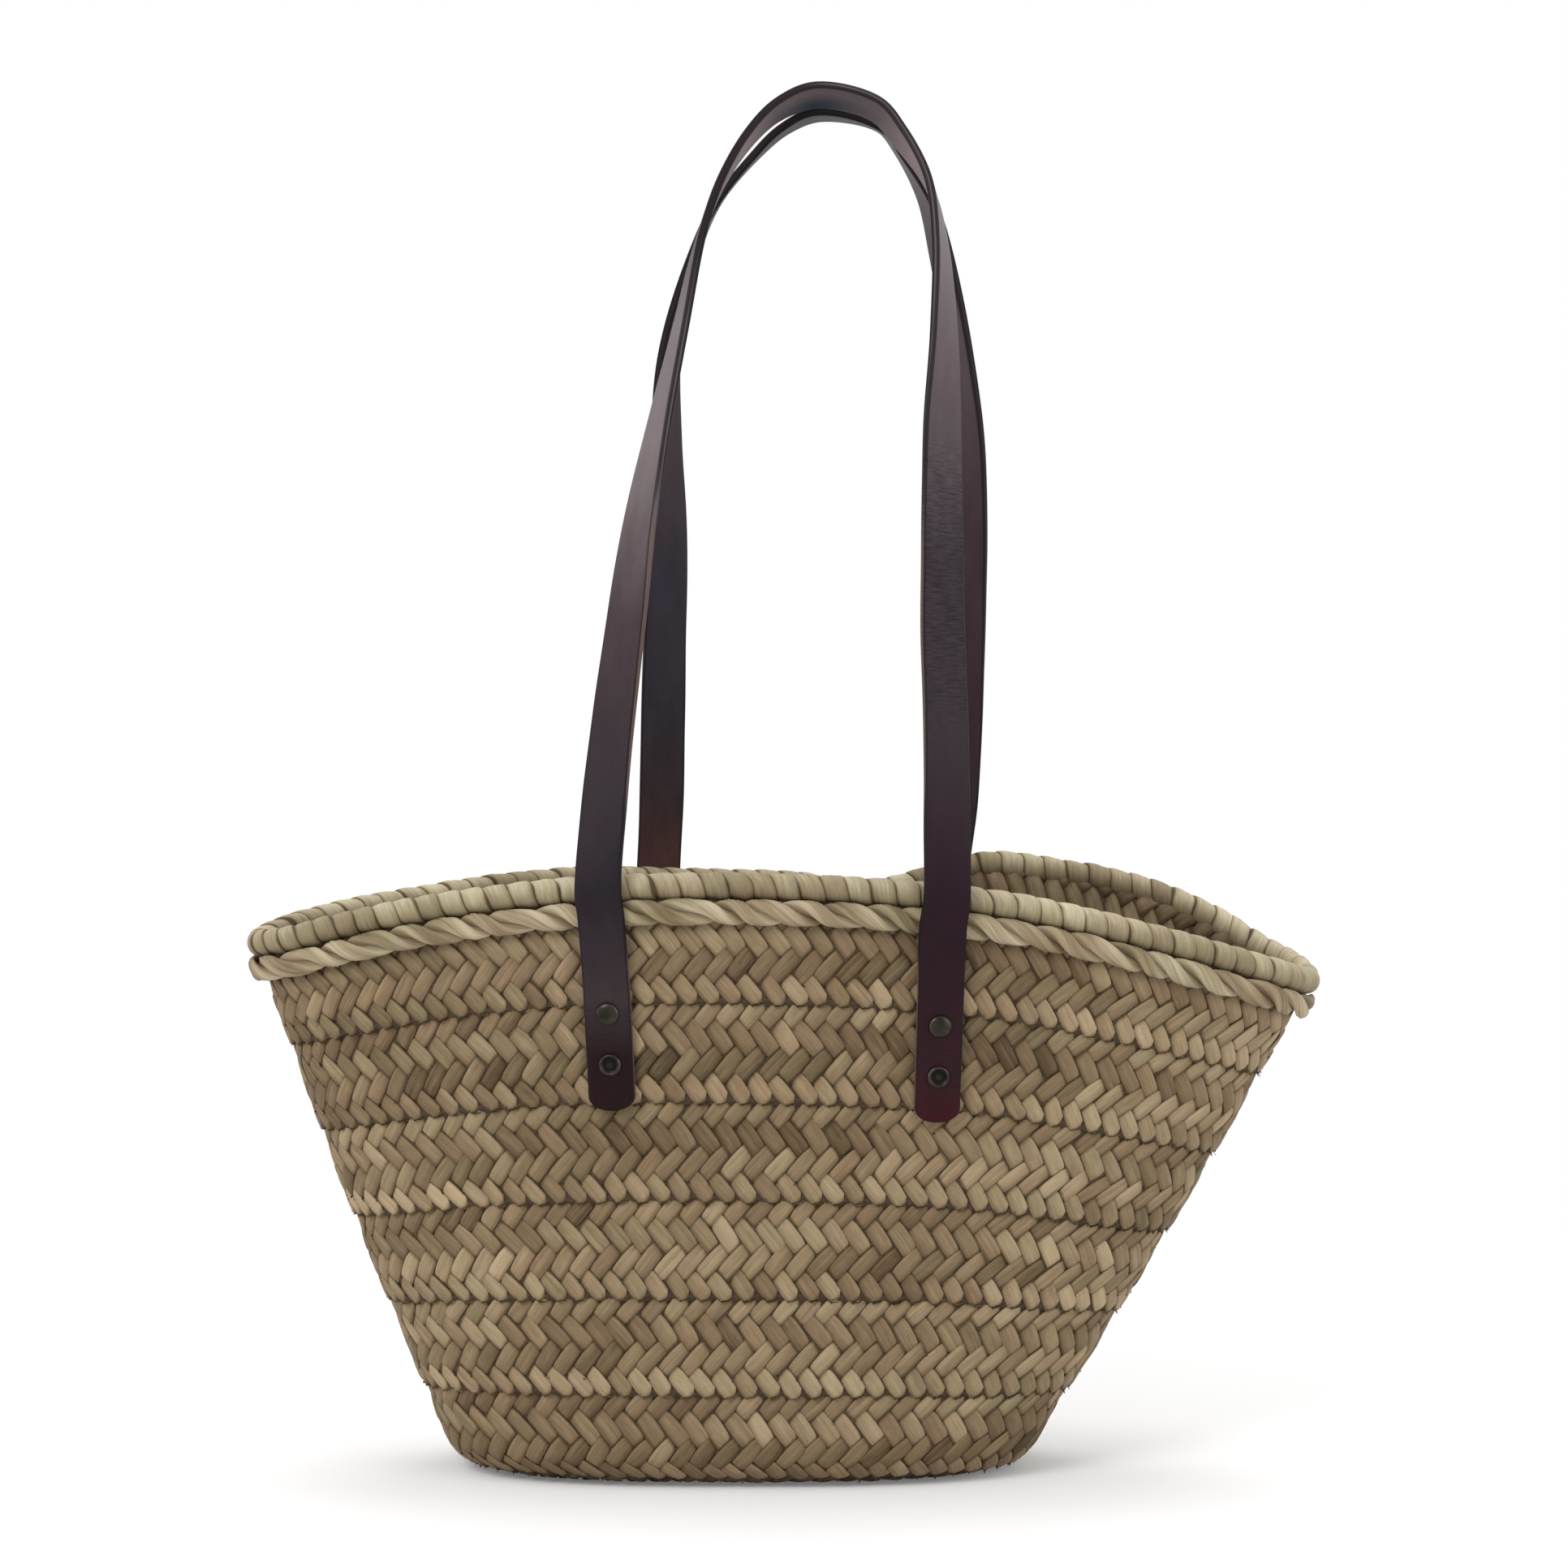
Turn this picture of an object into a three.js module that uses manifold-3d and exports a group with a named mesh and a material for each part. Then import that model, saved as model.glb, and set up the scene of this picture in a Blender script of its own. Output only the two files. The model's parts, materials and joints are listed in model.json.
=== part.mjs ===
import * as THREE from "three";
import { mergeVertices } from "three/addons/utils/BufferGeometryUtils.js";
import Module from "manifold-3d";

// A palm-leaf market basket with two long leather shoulder straps.
// Millimetres. +X to the right, +Y to the back, +Z up. The origin is the middle of the base,
// on the surface that the basket stands on.
// One plaited strip is wound round an oval base, each turn lapped outside the one below and sewn to it.
// A leaf-wrapped binding closes the mouth, and a leaf rope is laid on outside, just below it.
// Each strap is riveted through the wall at both ends.

const wasm = await Module();
wasm.setup();

// Base and heel: the flat oval, and the line where its rounded edge meets the wall
const footHalfLength = 108;
const footHalfDepth = 44;
const heelHalfLength = 130;
const heelHalfDepth = 63;
const heelHeight = 17;
const heelTurn = THREE.MathUtils.degToRad(69);
const footRoundness = 2.6;
const baseThickness = 4.4;
const seamDepth = 0.9;

// Mouth: the centre line of the rim binding, seen from above and as heights round it
const mouthHalfLength = 230;
const mouthHalfDepth = 80;
const mouthShift = 18;
const mouthRoundness = 2;
const rimHeight = 264;
// Heights at even steps round the mouth, from the right end by the back, left end and front
const rimHeightShares = [
  0.814, 0.834, 0.866, 0.908, 0.945, 0.971, 0.98, 0.956, 0.948, 0.953, 0.958, 0.947, 0.93, 0.914, 0.898, 0.884,
  0.875, 0.88, 0.892, 0.916, 0.943, 0.967, 0.985, 0.993, 0.992, 0.983, 0.965, 0.934, 0.898, 0.865, 0.838, 0.819,
];
const wallLengthShare = 1.0038;
const wallBulge = 3;
const heelShare = 0.115;

// Plaited strip
const turns = 6;
const stripThickness = 4.2;
const stripEdgeThickness = 1.7;
const stripCrown = 0.3;
const stripLap = 3;
const stripLapOffset = 1.3;
const stripStartShare = 0.055;
const stripTaperShare = 0.16;
const climbStart = THREE.MathUtils.degToRad(15);
const climbSpan = THREE.MathUtils.degToRad(150);

// Rim binding and rope
const bindingHalfHeight = 5.6;
const bindingHalfThickness = 5.2;
const bindingWraps = 103;
const wrapStep = 0.5;
const ropeHalfHeight = 4.8;
const ropeHalfThickness = 3.1;

// Leather
const strapWidth = 20;
const strapThickness = 3.6;
const strapEdgeRound = 0.8;
const tipLength = 5.4;
const tipRoundness = 2.4;

// Rivets
const rivetPitch = 21.8;
const bendToRivet = 9;
const rivetToTip = 20;
const capRadius = 4.6;
const capHeight = 2.1;
const capEdge = 0.8;
const dishRadius = 3.3;
const dishDepth = 0.7;
const postRadius = 1.5;
const postHoleRadius = 1.9;
const innerCapRadius = 4.4;
const innerCapHeight = 2.4;
const innerCapEdge = 0.9;
const socketDepth = 1.2;

// Where the strap legs bend off the wall: right of the middle, and below the rim's height. How far they
// lean to the right going up
const frontLeftX = -56.2;
const frontRightX = 83.8;
const backLeftX = -37.2;
const backRightX = 89;
const frontLeftDrop = 46.4;
const frontRightDrop = 51.6;
const backLeftDrop = 54;
const backRightDrop = 51;
const frontLeftLean = THREE.MathUtils.degToRad(-2.7);
const frontRightLean = THREE.MathUtils.degToRad(1.6);
const backLeftLean = THREE.MathUtils.degToRad(-1);
const backRightLean = THREE.MathUtils.degToRad(2.5);

// Strap loops: how far each top stands above the rim's height, or below the other strap's top, its
// distance right of the basket's middle and the tilt there
const frontTopRise = 335.7;
const frontTopX = 32.3;
const frontTopTilt = THREE.MathUtils.degToRad(25);
const backTopDrop = 6.9;
const backTopX = 33.4;
const backTopTilt = THREE.MathUtils.degToRad(-6);
// Each place on a leg, as shares: of the rise from rim to top, of the way across to the top, of the way
// in to the middle, and of a quarter turn of the leather's outer face from outwards to upwards
const frontLeftShares = [
  [0.1, 0.025, 0.063, 0.23], [0.21, 0.067, 0.154, 0.32], [0.33, 0.122, 0.264, 0.39], [0.45, 0.18, 0.384, 0.554],
  [0.575, 0.266, 0.515, 0.725], [0.7, 0.366, 0.652, 0.854], [0.82, 0.463, 0.788, 0.967],
  [0.89, 0.557, 0.869, 1.015], [0.95, 0.697, 0.94, 1.111], [0.983, 0.828, 0.98, 1.19],
];
const frontRightShares = [
  [0.1, 0, 0.063, 0.124], [0.21, 0.004, 0.154, 0.24], [0.33, 0.026, 0.264, 0.28], [0.45, 0.024, 0.384, 0.31],
  [0.575, 0.019, 0.515, 0.423], [0.7, 0.0, 0.652, 0.658], [0.82, 0.029, 0.788, 0.867],
  [0.89, 0.119, 0.869, 1.01], [0.95, 0.35, 0.94, 1.195], [0.983, 0.535, 0.98, 1.23],
];
const backLeftShares = [
  [0.1, 0.023, 0.063, 0.042], [0.21, 0.036, 0.154, 0.094], [0.33, 0.051, 0.264, 0.199], [0.45, 0.07, 0.384, 0.35],
  [0.575, 0.068, 0.515, 0.587], [0.7, 0.094, 0.652, 0.77], [0.82, 0.238, 0.788, 0.965],
  [0.89, 0.387, 0.869, 1.015], [0.95, 0.622, 0.94, 0.99], [0.983, 0.799, 0.98, 0.955],
];
const backRightShares = [
  [0.1, -0.061, 0.063, 0.018], [0.21, -0.085, 0.154, 0.092], [0.33, -0.102, 0.264, 0.212], [0.45, -0.121, 0.384, 0.353],
  [0.575, -0.111, 0.515, 0.512], [0.7, -0.034, 0.652, 0.66], [0.82, 0.093, 0.788, 0.75],
  [0.89, 0.204, 0.869, 0.878], [0.95, 0.395, 0.94, 1.0], [0.983, 0.55, 0.98, 1.03],
];

// Clearances
const clearance = 0.3;
const facetRoom = 0.2;
const overrun = 6;

// Counts of facets, and the steps and shares that curves are followed with
const stepsPerTurn = 48;
const mouthSteps = 240;
const bindingSides = 7;
const ropeSides = 8;
const ropeSeatSteps = 12;
const capSides = 12;
const domeSteps = 3;
const tipSteps = 5;
const strapStepsPerPlace = 2;
const bisections = 40;
const slopeShare = 1e-3;
const mergeShare = 1e-4;
const footShares = [0.46, 0.485, 0.51, 0.97];
const wrapShares = [0.06, 0.94];

const palm = new THREE.MeshStandardMaterial({ color: 0xb3a37f, roughness: 0.75, metalness: 0 });
const palmPale = new THREE.MeshStandardMaterial({ color: 0xc6b793, roughness: 0.7, metalness: 0 });
const leather = new THREE.MeshStandardMaterial({ color: 0x35272a, roughness: 0.45, metalness: 0 });
const gunmetal = new THREE.MeshStandardMaterial({ color: 0x5c5850, roughness: 0.35, metalness: 1 });

const wallLength = rimHeight * wallLengthShare;
const frontTopHeight = rimHeight + frontTopRise;
const backTopHeight = frontTopHeight - backTopDrop;
const fullTurn = 2 * Math.PI;
const quarterTurn = Math.PI / 2;
const stripHalf = stripThickness / 2;
const stripEdgeHalf = stripEdgeThickness / 2;
const strapHalf = strapThickness / 2;
const lapShare = stripLap / 2 / wallLength;
const topShare = 1 - (bindingHalfHeight + clearance + facetRoom) / wallLength;
const turnShare = (topShare - stripStartShare) / turns;
const ropeDrop = bindingHalfHeight + clearance + ropeHalfHeight;
const heelRadius = (heelShare * wallLength) / heelTurn;
// How far the strip's flat lower half cuts the corner of the rounded heel, a lap above its edge
const heelTuck = (stripLap * ((turnShare * wallLength) / 2 - stripLap)) / (2 * heelRadius) + facetRoom;
const basket = new THREE.Group();

function mix(a, b, share) {
  return a + (b - a) * share;
}

function smooth(share) {
  const held = THREE.MathUtils.clamp(share, 0, 1);
  return held * held * (3 - 2 * held);
}

// The value in a span at which a rising test turns true
function solve(low, high, above) {
  for (let i = 0; i < bisections; i++) {
    const middle = (low + high) / 2;
    if (above(middle)) high = middle;
    else low = middle;
  }
  return (low + high) / 2;
}

// A point of a rounded oval; roundness 2 is an ellipse, and more is squarer
function oval(angle, halfLength, halfDepth, roundness) {
  const c = Math.cos(angle);
  const s = Math.sin(angle);
  const power = 2 / roundness;
  return new THREE.Vector2(
    halfLength * Math.sign(c) * Math.abs(c) ** power,
    halfDepth * Math.sign(s) * Math.abs(s) ** power,
  );
}

// Height of the rim's centre line at an angle, by a closed cubic through the shares
function rimHeightAt(angle) {
  const count = rimHeightShares.length;
  const place = THREE.MathUtils.euclideanModulo(angle / fullTurn, 1) * count;
  const first = Math.floor(place);
  const t = place - first;
  const [a, b, c, d] = [-1, 0, 1, 2].map((i) => rimHeightShares[(first + i + count) % count]);
  const slopeB = (c - a) / 2;
  const slopeC = (d - b) / 2;
  const cubic = 2 * t ** 3 - 3 * t ** 2 + 1;
  return rimHeight * (
    b * cubic + c * (1 - cubic) + slopeB * (t ** 3 - 2 * t ** 2 + t) + slopeC * (t ** 3 - t ** 2)
  );
}

// The wall's middle surface: share 0 is the edge of the flat base and 1 the rim's centre line
function wallMiddle(angle, share) {
  const heel = oval(angle, heelHalfLength, heelHalfDepth, footRoundness);
  const half = baseThickness / 2;
  if (share < heelShare) {
    const foot = oval(angle, footHalfLength, footHalfDepth, footRoundness);
    const turn = (heelTurn * share) / heelShare;
    const plan = foot.lerp(heel, Math.sin(turn) / Math.sin(heelTurn));
    const rise = ((heelHeight - half) * (1 - Math.cos(turn))) / (1 - Math.cos(heelTurn));
    return new THREE.Vector3(plan.x, plan.y, half + rise);
  }
  const climb = (share - heelShare) / (1 - heelShare);
  const mouth = oval(angle, mouthHalfLength, mouthHalfDepth, mouthRoundness);
  mouth.x += mouthShift;
  const out = mouth.clone().sub(heel).normalize().multiplyScalar(wallBulge * Math.sin(Math.PI * climb));
  const plan = heel.lerp(mouth, climb).add(out);
  return new THREE.Vector3(plan.x, plan.y, mix(heelHeight, rimHeightAt(angle), climb));
}

// Directions on the wall: up it, and out of it
function wallFrame(angle, share) {
  const low = THREE.MathUtils.clamp(share - slopeShare, 0, 1 - 2 * slopeShare);
  const along = wallMiddle(angle + slopeShare, low).sub(wallMiddle(angle - slopeShare, low)).normalize();
  const rise = wallMiddle(angle, low + 2 * slopeShare).sub(wallMiddle(angle, low)).normalize();
  const out = along.clone().cross(rise).normalize();
  return { rise: out.clone().cross(along), out };
}

function wallPoint(angle, share, offset = 0, lift = 0) {
  const { rise, out } = wallFrame(angle, share);
  return wallMiddle(angle, share).addScaledVector(out, offset).addScaledVector(rise, lift);
}

// The mouth's line is walked once, so that wraps can be set evenly along it
const mouthLengths = [0];
for (let step = 0; step < mouthSteps; step++) {
  const [from, to] = [step, step + 1].map((i) => wallMiddle((i / mouthSteps) * fullTurn, 1));
  mouthLengths.push(mouthLengths.at(-1) + from.distanceTo(to));
}

// The angle at a share of the way along the mouth's line
function angleAlongMouth(share) {
  const turnsRound = Math.floor(share);
  const length = (share - turnsRound) * mouthLengths.at(-1);
  const step = mouthLengths.findLastIndex((walked) => walked <= length);
  const next = Math.min(step + 1, mouthSteps);
  const span = mouthLengths[next] - mouthLengths[step];
  const part = span > 0 ? (length - mouthLengths[step]) / span : 0;
  return (turnsRound + (step + part) / mouthSteps) * fullTurn;
}

// Where the wall stands at a distance right of the middle, at the back or front, at a share up it
function angleAtX(x, share, back) {
  return back
    ? solve(0, Math.PI, (angle) => wallMiddle(angle, share).x < x)
    : solve(Math.PI, fullTurn, (angle) => wallMiddle(angle, share).x > x);
}

function shareAtHeight(angle, height) {
  return solve(heelShare, 1, (share) => wallMiddle(angle, share).z > height);
}

// Angle and share of the wall's point at a distance right of the middle and a height
function placeOnWall(x, height, back) {
  let share = (1 + heelShare) / 2;
  let angle = angleAtX(x, share, back);
  for (let i = 0; i < tipSteps; i++) {
    share = shareAtHeight(angle, height);
    angle = angleAtX(x, share, back);
  }
  return { angle, share };
}

// A closed body from equal rings of points, with its faces turned outwards. Where the rings are turns of a
// winding, each one's last point meets the first point of a ring further on.
function bodyOfRings(rings, closed, gain = 0) {
  const sides = rings[0].length;
  const points = rings.flat();
  const faces = [];
  const spans = closed ? rings.length : rings.length - 1;
  const pointAt = (ring, side) => (ring % rings.length) * sides + side;
  for (let r = 0; r < spans; r++) {
    for (let i = 0; i < sides; i++) {
      const j = (i + 1) % sides;
      const on = j === 0 ? gain : 0;
      const [a, b, c, d] = [pointAt(r, i), pointAt(r + on, j), pointAt(r + on + 1, j), pointAt(r + 1, i)];
      faces.push(a, b, c, a, c, d);
    }
  }
  if (!closed) {
    closeRing(rings[0], 0, faces, true);
    closeRing(rings.at(-1), points.length - sides, faces, false);
  }
  return outwards(points, faces);
}

// Triangles across one end ring, found in the plane that the ring faces
function closeRing(ring, first, faces, flip) {
  const centre = ring.reduce((sum, p) => sum.add(p), new THREE.Vector3()).divideScalar(ring.length);
  const normal = new THREE.Vector3();
  ring.forEach((p, i) => {
    const next = ring[(i + 1) % ring.length].clone().sub(centre);
    normal.add(p.clone().sub(centre).cross(next));
  });
  normal.normalize();
  const u = ring[0].clone().sub(centre).normalize();
  const v = normal.clone().cross(u);
  const flat = ring.map((p) => {
    const q = p.clone().sub(centre);
    return new THREE.Vector2(q.dot(u), q.dot(v));
  });
  for (const [a, b, c] of THREE.ShapeUtils.triangulateShape(flat, [])) {
    faces.push(first + a, first + (flip ? c : b), first + (flip ? b : c));
  }
}

function outwards(points, faces) {
  let volume = 0;
  for (let i = 0; i < faces.length; i += 3) {
    const [a, b, c] = [faces[i], faces[i + 1], faces[i + 2]].map((k) => points[k]);
    volume += a.dot(b.clone().cross(c));
  }
  if (volume < 0) {
    for (let i = 0; i < faces.length; i += 3) [faces[i], faces[i + 1]] = [faces[i + 1], faces[i]];
  }
  const geometry = new THREE.BufferGeometry();
  geometry.setAttribute("position", new THREE.Float32BufferAttribute(points.flatMap((p) => p.toArray()), 3));
  geometry.setIndex(faces);
  return geometry;
}

function solidOf(geometry) {
  const bare = geometry.clone();
  bare.deleteAttribute("normal");
  bare.deleteAttribute("uv");
  const merged = mergeVertices(bare, mergeShare);
  return new wasm.Manifold(new wasm.Mesh({
    numProp: 3,
    vertProperties: new Float32Array(merged.attributes.position.array),
    triVerts: new Uint32Array(merged.index.array),
  }));
}

// A geometry less a set of cutters
function cut(geometry, cutters) {
  const solid = cutters.reduce((rest, cutter) => rest.subtract(solidOf(cutter)), solidOf(geometry));
  const mesh = solid.getMesh();
  const result = new THREE.BufferGeometry();
  result.setAttribute("position", new THREE.Float32BufferAttribute(mesh.vertProperties, 3));
  result.setIndex(Array.from(mesh.triVerts));
  return result;
}

function add(name, geometry, material) {
  const mesh = new THREE.Mesh(geometry, material);
  mesh.name = name;
  basket.add(mesh);
}

// Plaited strip: how many turns high its upper edge is at a number of turns along it
function climbAt(length) {
  const whole = Math.floor(length);
  return whole + smooth(((length - whole) * fullTurn) / climbSpan);
}

// The strip's section: shares up the wall, offsets and half thicknesses of its lower edge, middle and
// upper edge. It thins where it tapers at either end.
function stripProfile(length) {
  const climb = climbAt(length);
  const lower = stripStartShare + turnShare * THREE.MathUtils.clamp(climb - 1, 0, turns);
  const upper = stripStartShare + turnShare * THREE.MathUtils.clamp(climb, 0, turns);
  return {
    shares: [lower - lapShare, (lower + upper) / 2, Math.min(upper + lapShare, topShare)],
    offsets: [stripLapOffset, stripCrown, -stripLapOffset],
    halves: [stripEdgeHalf, mix(stripEdgeHalf, stripHalf, (upper - lower) / turnShare), stripEdgeHalf],
  };
}

function stripSection(length) {
  const angle = climbStart + length * fullTurn;
  const { shares, offsets, halves } = stripProfile(length);
  const outer = shares.map((share, i) => wallPoint(angle, share, offsets[i] + halves[i]));
  const inner = shares.map((share, i) => wallPoint(angle, share, offsets[i] - halves[i]));
  return [...outer, ...inner.reverse()];
}

// How far the plaited wall reaches out and in from its middle surface at a place
function wallReach(angle, share) {
  const reach = { outer: -Infinity, inner: Infinity };
  const around = THREE.MathUtils.euclideanModulo(angle - climbStart, fullTurn) / fullTurn;
  for (let turn = 0; turn <= turns; turn++) {
    const { shares, offsets, halves } = stripProfile(around + turn);
    const [lower, middle, upper] = shares;
    if (share < lower || share > upper || upper - lower < turnShare * stripTaperShare) continue;
    const from = share < middle ? 0 : 1;
    const part = (share - shares[from]) / (shares[from + 1] - shares[from]);
    const offset = mix(offsets[from], offsets[from + 1], part);
    const half = mix(halves[from], halves[from + 1], part);
    reach.outer = Math.max(reach.outer, offset + half);
    reach.inner = Math.min(reach.inner, offset - half);
  }
  return reach;
}

// Strap ends. A frame at the place where the leather bends off the wall: across it, up it, out of it
function strapEnd(x, drop, lean, back) {
  const height = rimHeight - drop;
  const length = bendToRivet + rivetPitch + rivetToTip;
  const top = placeOnWall(x, height, back);
  const foot = placeOnWall(x - length * Math.sin(lean), height - length, back);
  const up = wallMiddle(top.angle, top.share).sub(wallMiddle(foot.angle, foot.share)).normalize();
  const normal = wallFrame(top.angle, (top.share + foot.share) / 2).out;
  const across = up.clone().cross(normal).normalize();
  const out = across.clone().cross(up);
  const frame = new THREE.Matrix4().makeBasis(across, up, out).setPosition(wallMiddle(top.angle, top.share));
  // The leather lies on what stands out furthest under it
  const inverse = frame.clone().invert();
  const seat = (depth, side, key) => {
    const spot = new THREE.Vector3(side, -depth, 0).applyMatrix4(frame);
    const { angle, share } = placeOnWall(spot.x, spot.z, back);
    return wallPoint(angle, share, wallReach(angle, share)[key]).applyMatrix4(inverse).z;
  };
  const sides = [-strapWidth / 2, 0, strapWidth / 2];
  const spots = Array.from({ length: capSides + 1 }, (_, i) => (length * i) / capSides);
  const face = Math.max(...spots.flatMap((depth) => sides.map((side) => seat(depth, side, "outer"))));
  const lift = face + clearance + strapHalf;
  const inside = (depth) => {
    const rim = Array.from({ length: capSides }, (_, i) => (i * fullTurn) / capSides);
    const found = rim.map((a) =>
      seat(depth + innerCapRadius * Math.cos(a), innerCapRadius * Math.sin(a), "inner"));
    return Math.min(...found, seat(depth, 0, "inner")) - lift - clearance - facetRoom;
  };
  const bend = wallMiddle(top.angle, top.share).addScaledVector(out, lift);
  frame.setPosition(bend);
  return { frame, bend, across, up, out, lean, back, length, inside };
}

const ends = {
  front_left: strapEnd(frontLeftX, frontLeftDrop, frontLeftLean, false),
  front_right: strapEnd(frontRightX, frontRightDrop, frontRightLean, false),
  back_left: strapEnd(backLeftX, backLeftDrop, backLeftLean, true),
  back_right: strapEnd(backRightX, backRightDrop, backRightLean, true),
};
const rivetDepths = { upper: bendToRivet, lower: bendToRivet + rivetPitch };

// A round rod through the leather and wall at a depth below the bend
function rod(end, depth, radius, from, to) {
  const geometry = new THREE.CylinderGeometry(radius, radius, from - to, capSides);
  geometry.rotateX(quarterTurn).translate(0, -depth, (from + to) / 2);
  return geometry.applyMatrix4(end.frame);
}

function postHoles(end) {
  return Object.values(rivetDepths).map((depth) =>
    rod(end, depth, postHoleRadius, strapHalf + overrun, end.inside(depth) - overrun));
}

function plaitedWall() {
  const taper = (climbSpan / fullTurn) * stripTaperShare;
  const first = Math.ceil(taper * stepsPerTurn);
  const last = Math.floor((turns + climbSpan / fullTurn - taper) * stepsPerTurn);
  const rings = Array.from({ length: last - first + 1 }, (_, i) => stripSection((first + i) / stepsPerTurn));
  return cut(bodyOfRings(rings, false), Object.values(ends).flatMap(postHoles));
}

// Base: a flat oval with the seam of its own first turn, whose edge turns up inside the wall
function wovenBase() {
  const edge = stripStartShare + lapShare;
  const half = baseThickness / 2;
  const angles = Array.from({ length: stepsPerTurn }, (_, i) => climbStart + (i / stepsPerTurn) * fullTurn);
  const flat = (share, height) => angles.map((angle) => {
    const plan = oval(angle, footHalfLength * share, footHalfDepth * share, footRoundness);
    return new THREE.Vector3(plan.x, plan.y, height);
  });
  const turned = (part, side) => angles.map((angle) => {
    const offset = mix(0, -stripLapOffset - heelTuck, part) + side * mix(half, stripEdgeHalf, part);
    return wallPoint(angle, edge * part, offset);
  });
  return bodyOfRings([
    flat(footShares[0], 0),
    flat(footShares[1], seamDepth),
    flat(footShares[2], 0),
    flat(footShares[3], 0),
    turned(1 / 2, 1),
    turned(1, 1),
    turned(1, -1),
    turned(1 / 2, -1),
    flat(footShares[3], baseThickness),
  ], false);
}

// Rim binding: one leaf wound on round a core, each wrap stepping down under the next. A turn of it starts
// under the core, goes up outside and down inside, and ends a wrap back along the rim.
function rimBinding() {
  const rings = [];
  for (let wrap = 0; wrap < bindingWraps; wrap++) {
    wrapShares.forEach((share, low) => {
      const ring = [];
      for (let i = 0; i < bindingSides; i++) {
        const turn = (i / bindingSides) * fullTurn - quarterTurn;
        const lift = (bindingHalfHeight - low * wrapStep) * Math.sin(turn);
        const offset = (bindingHalfThickness - low * wrapStep) * Math.cos(turn);
        const place = (wrap + share - i / bindingSides) / bindingWraps;
        ring.push(wallPoint(angleAlongMouth(place), 1, offset, lift));
      }
      rings.push(ring);
    });
  }
  return bodyOfRings(rings, true, wrapShares.length);
}

// Rope: a flattened round that rests on the wall's outside, right under the binding
function ropeSeat() {
  let seat = -Infinity;
  for (let step = 0; step < stepsPerTurn; step++) {
    const angle = climbStart + (step / stepsPerTurn) * fullTurn;
    for (let i = 0; i <= ropeSeatSteps; i++) {
      const turn = (i / ropeSeatSteps) * Math.PI - quarterTurn;
      const share = 1 - (ropeDrop - ropeHalfHeight * Math.sin(turn)) / wallLength;
      const { outer } = wallReach(angle, Math.min(share, topShare));
      seat = Math.max(seat, outer + clearance + ropeHalfThickness * Math.cos(turn));
    }
  }
  return seat;
}

const ropeOffset = ropeSeat();

function rimRope() {
  const rings = [];
  for (let step = 0; step < stepsPerTurn; step++) {
    const angle = climbStart + (step / stepsPerTurn) * fullTurn;
    const ring = [];
    for (let i = 0; i < ropeSides; i++) {
      const turn = (i / ropeSides) * fullTurn;
      const offset = ropeOffset + ropeHalfThickness * Math.cos(turn);
      ring.push(wallPoint(angle, 1, offset, ropeHalfHeight * Math.sin(turn) - ropeDrop));
    }
    rings.push(ring);
  }
  return bodyOfRings(rings, true);
}

// A section of strap: a flat rectangle with rounded edges
function strapRing(centre, across, out, halfWidth = strapWidth / 2) {
  const w = halfWidth;
  const t = strapHalf;
  const e = Math.min(strapEdgeRound, halfWidth / 2);
  return [
    [w, t - e], [w - e, t], [e - w, t], [-w, t - e], [-w, e - t], [e - w, -t], [w - e, -t], [w, e - t],
  ].map(([a, b]) => centre.clone().addScaledVector(across, a).addScaledVector(out, b));
}

// The riveted end of a strap: flat on the wall, with a shallow rounded tip
function strapTab(end) {
  const at = (depth) => end.bend.clone().addScaledVector(end.up, -depth);
  const rings = [strapRing(at(clearance / 2), end.across, end.out)];
  for (let i = 0; i <= tipSteps; i++) {
    const part = Math.sin((quarterTurn * i) / (tipSteps + 1 / 2));
    const half = (strapWidth / 2) * (1 - part ** tipRoundness) ** (1 / tipRoundness);
    rings.push(strapRing(at(end.length - tipLength * (1 - part)), end.across, end.out, half));
  }
  return cut(bodyOfRings(rings, false), postHoles(end));
}

// Places of a strap leg's middle line, from its bend over the rope and rim to just short of the top
function legPlaces(end, shares, top) {
  const side = end.back ? 1 : -1;
  const reach = ropeOffset + ropeHalfThickness + clearance + strapHalf;
  const crossing = (lift) => {
    const height = rimHeight + lift - end.bend.z;
    const angle = angleAtX(end.bend.x + height * Math.tan(end.lean), 1, end.back);
    return wallPoint(angle, 1, reach, lift);
  };
  const rim = crossing(0);
  const places = [
    { point: end.bend.clone().addScaledVector(end.up, clearance / 2), out: end.out },
    { point: crossing(-ropeDrop), out: end.out },
    { point: rim, out: end.out },
  ];
  for (const [rise, across, inward, roll] of shares) {
    const point = new THREE.Vector3(
      mix(rim.x, top.point.x, across), mix(rim.y, top.point.y, inward), mix(rim.z, top.point.z, rise));
    places.push({ point, roll: roll * quarterTurn });
  }
  return places.map((place) => ({ ...place, side }));
}

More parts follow.
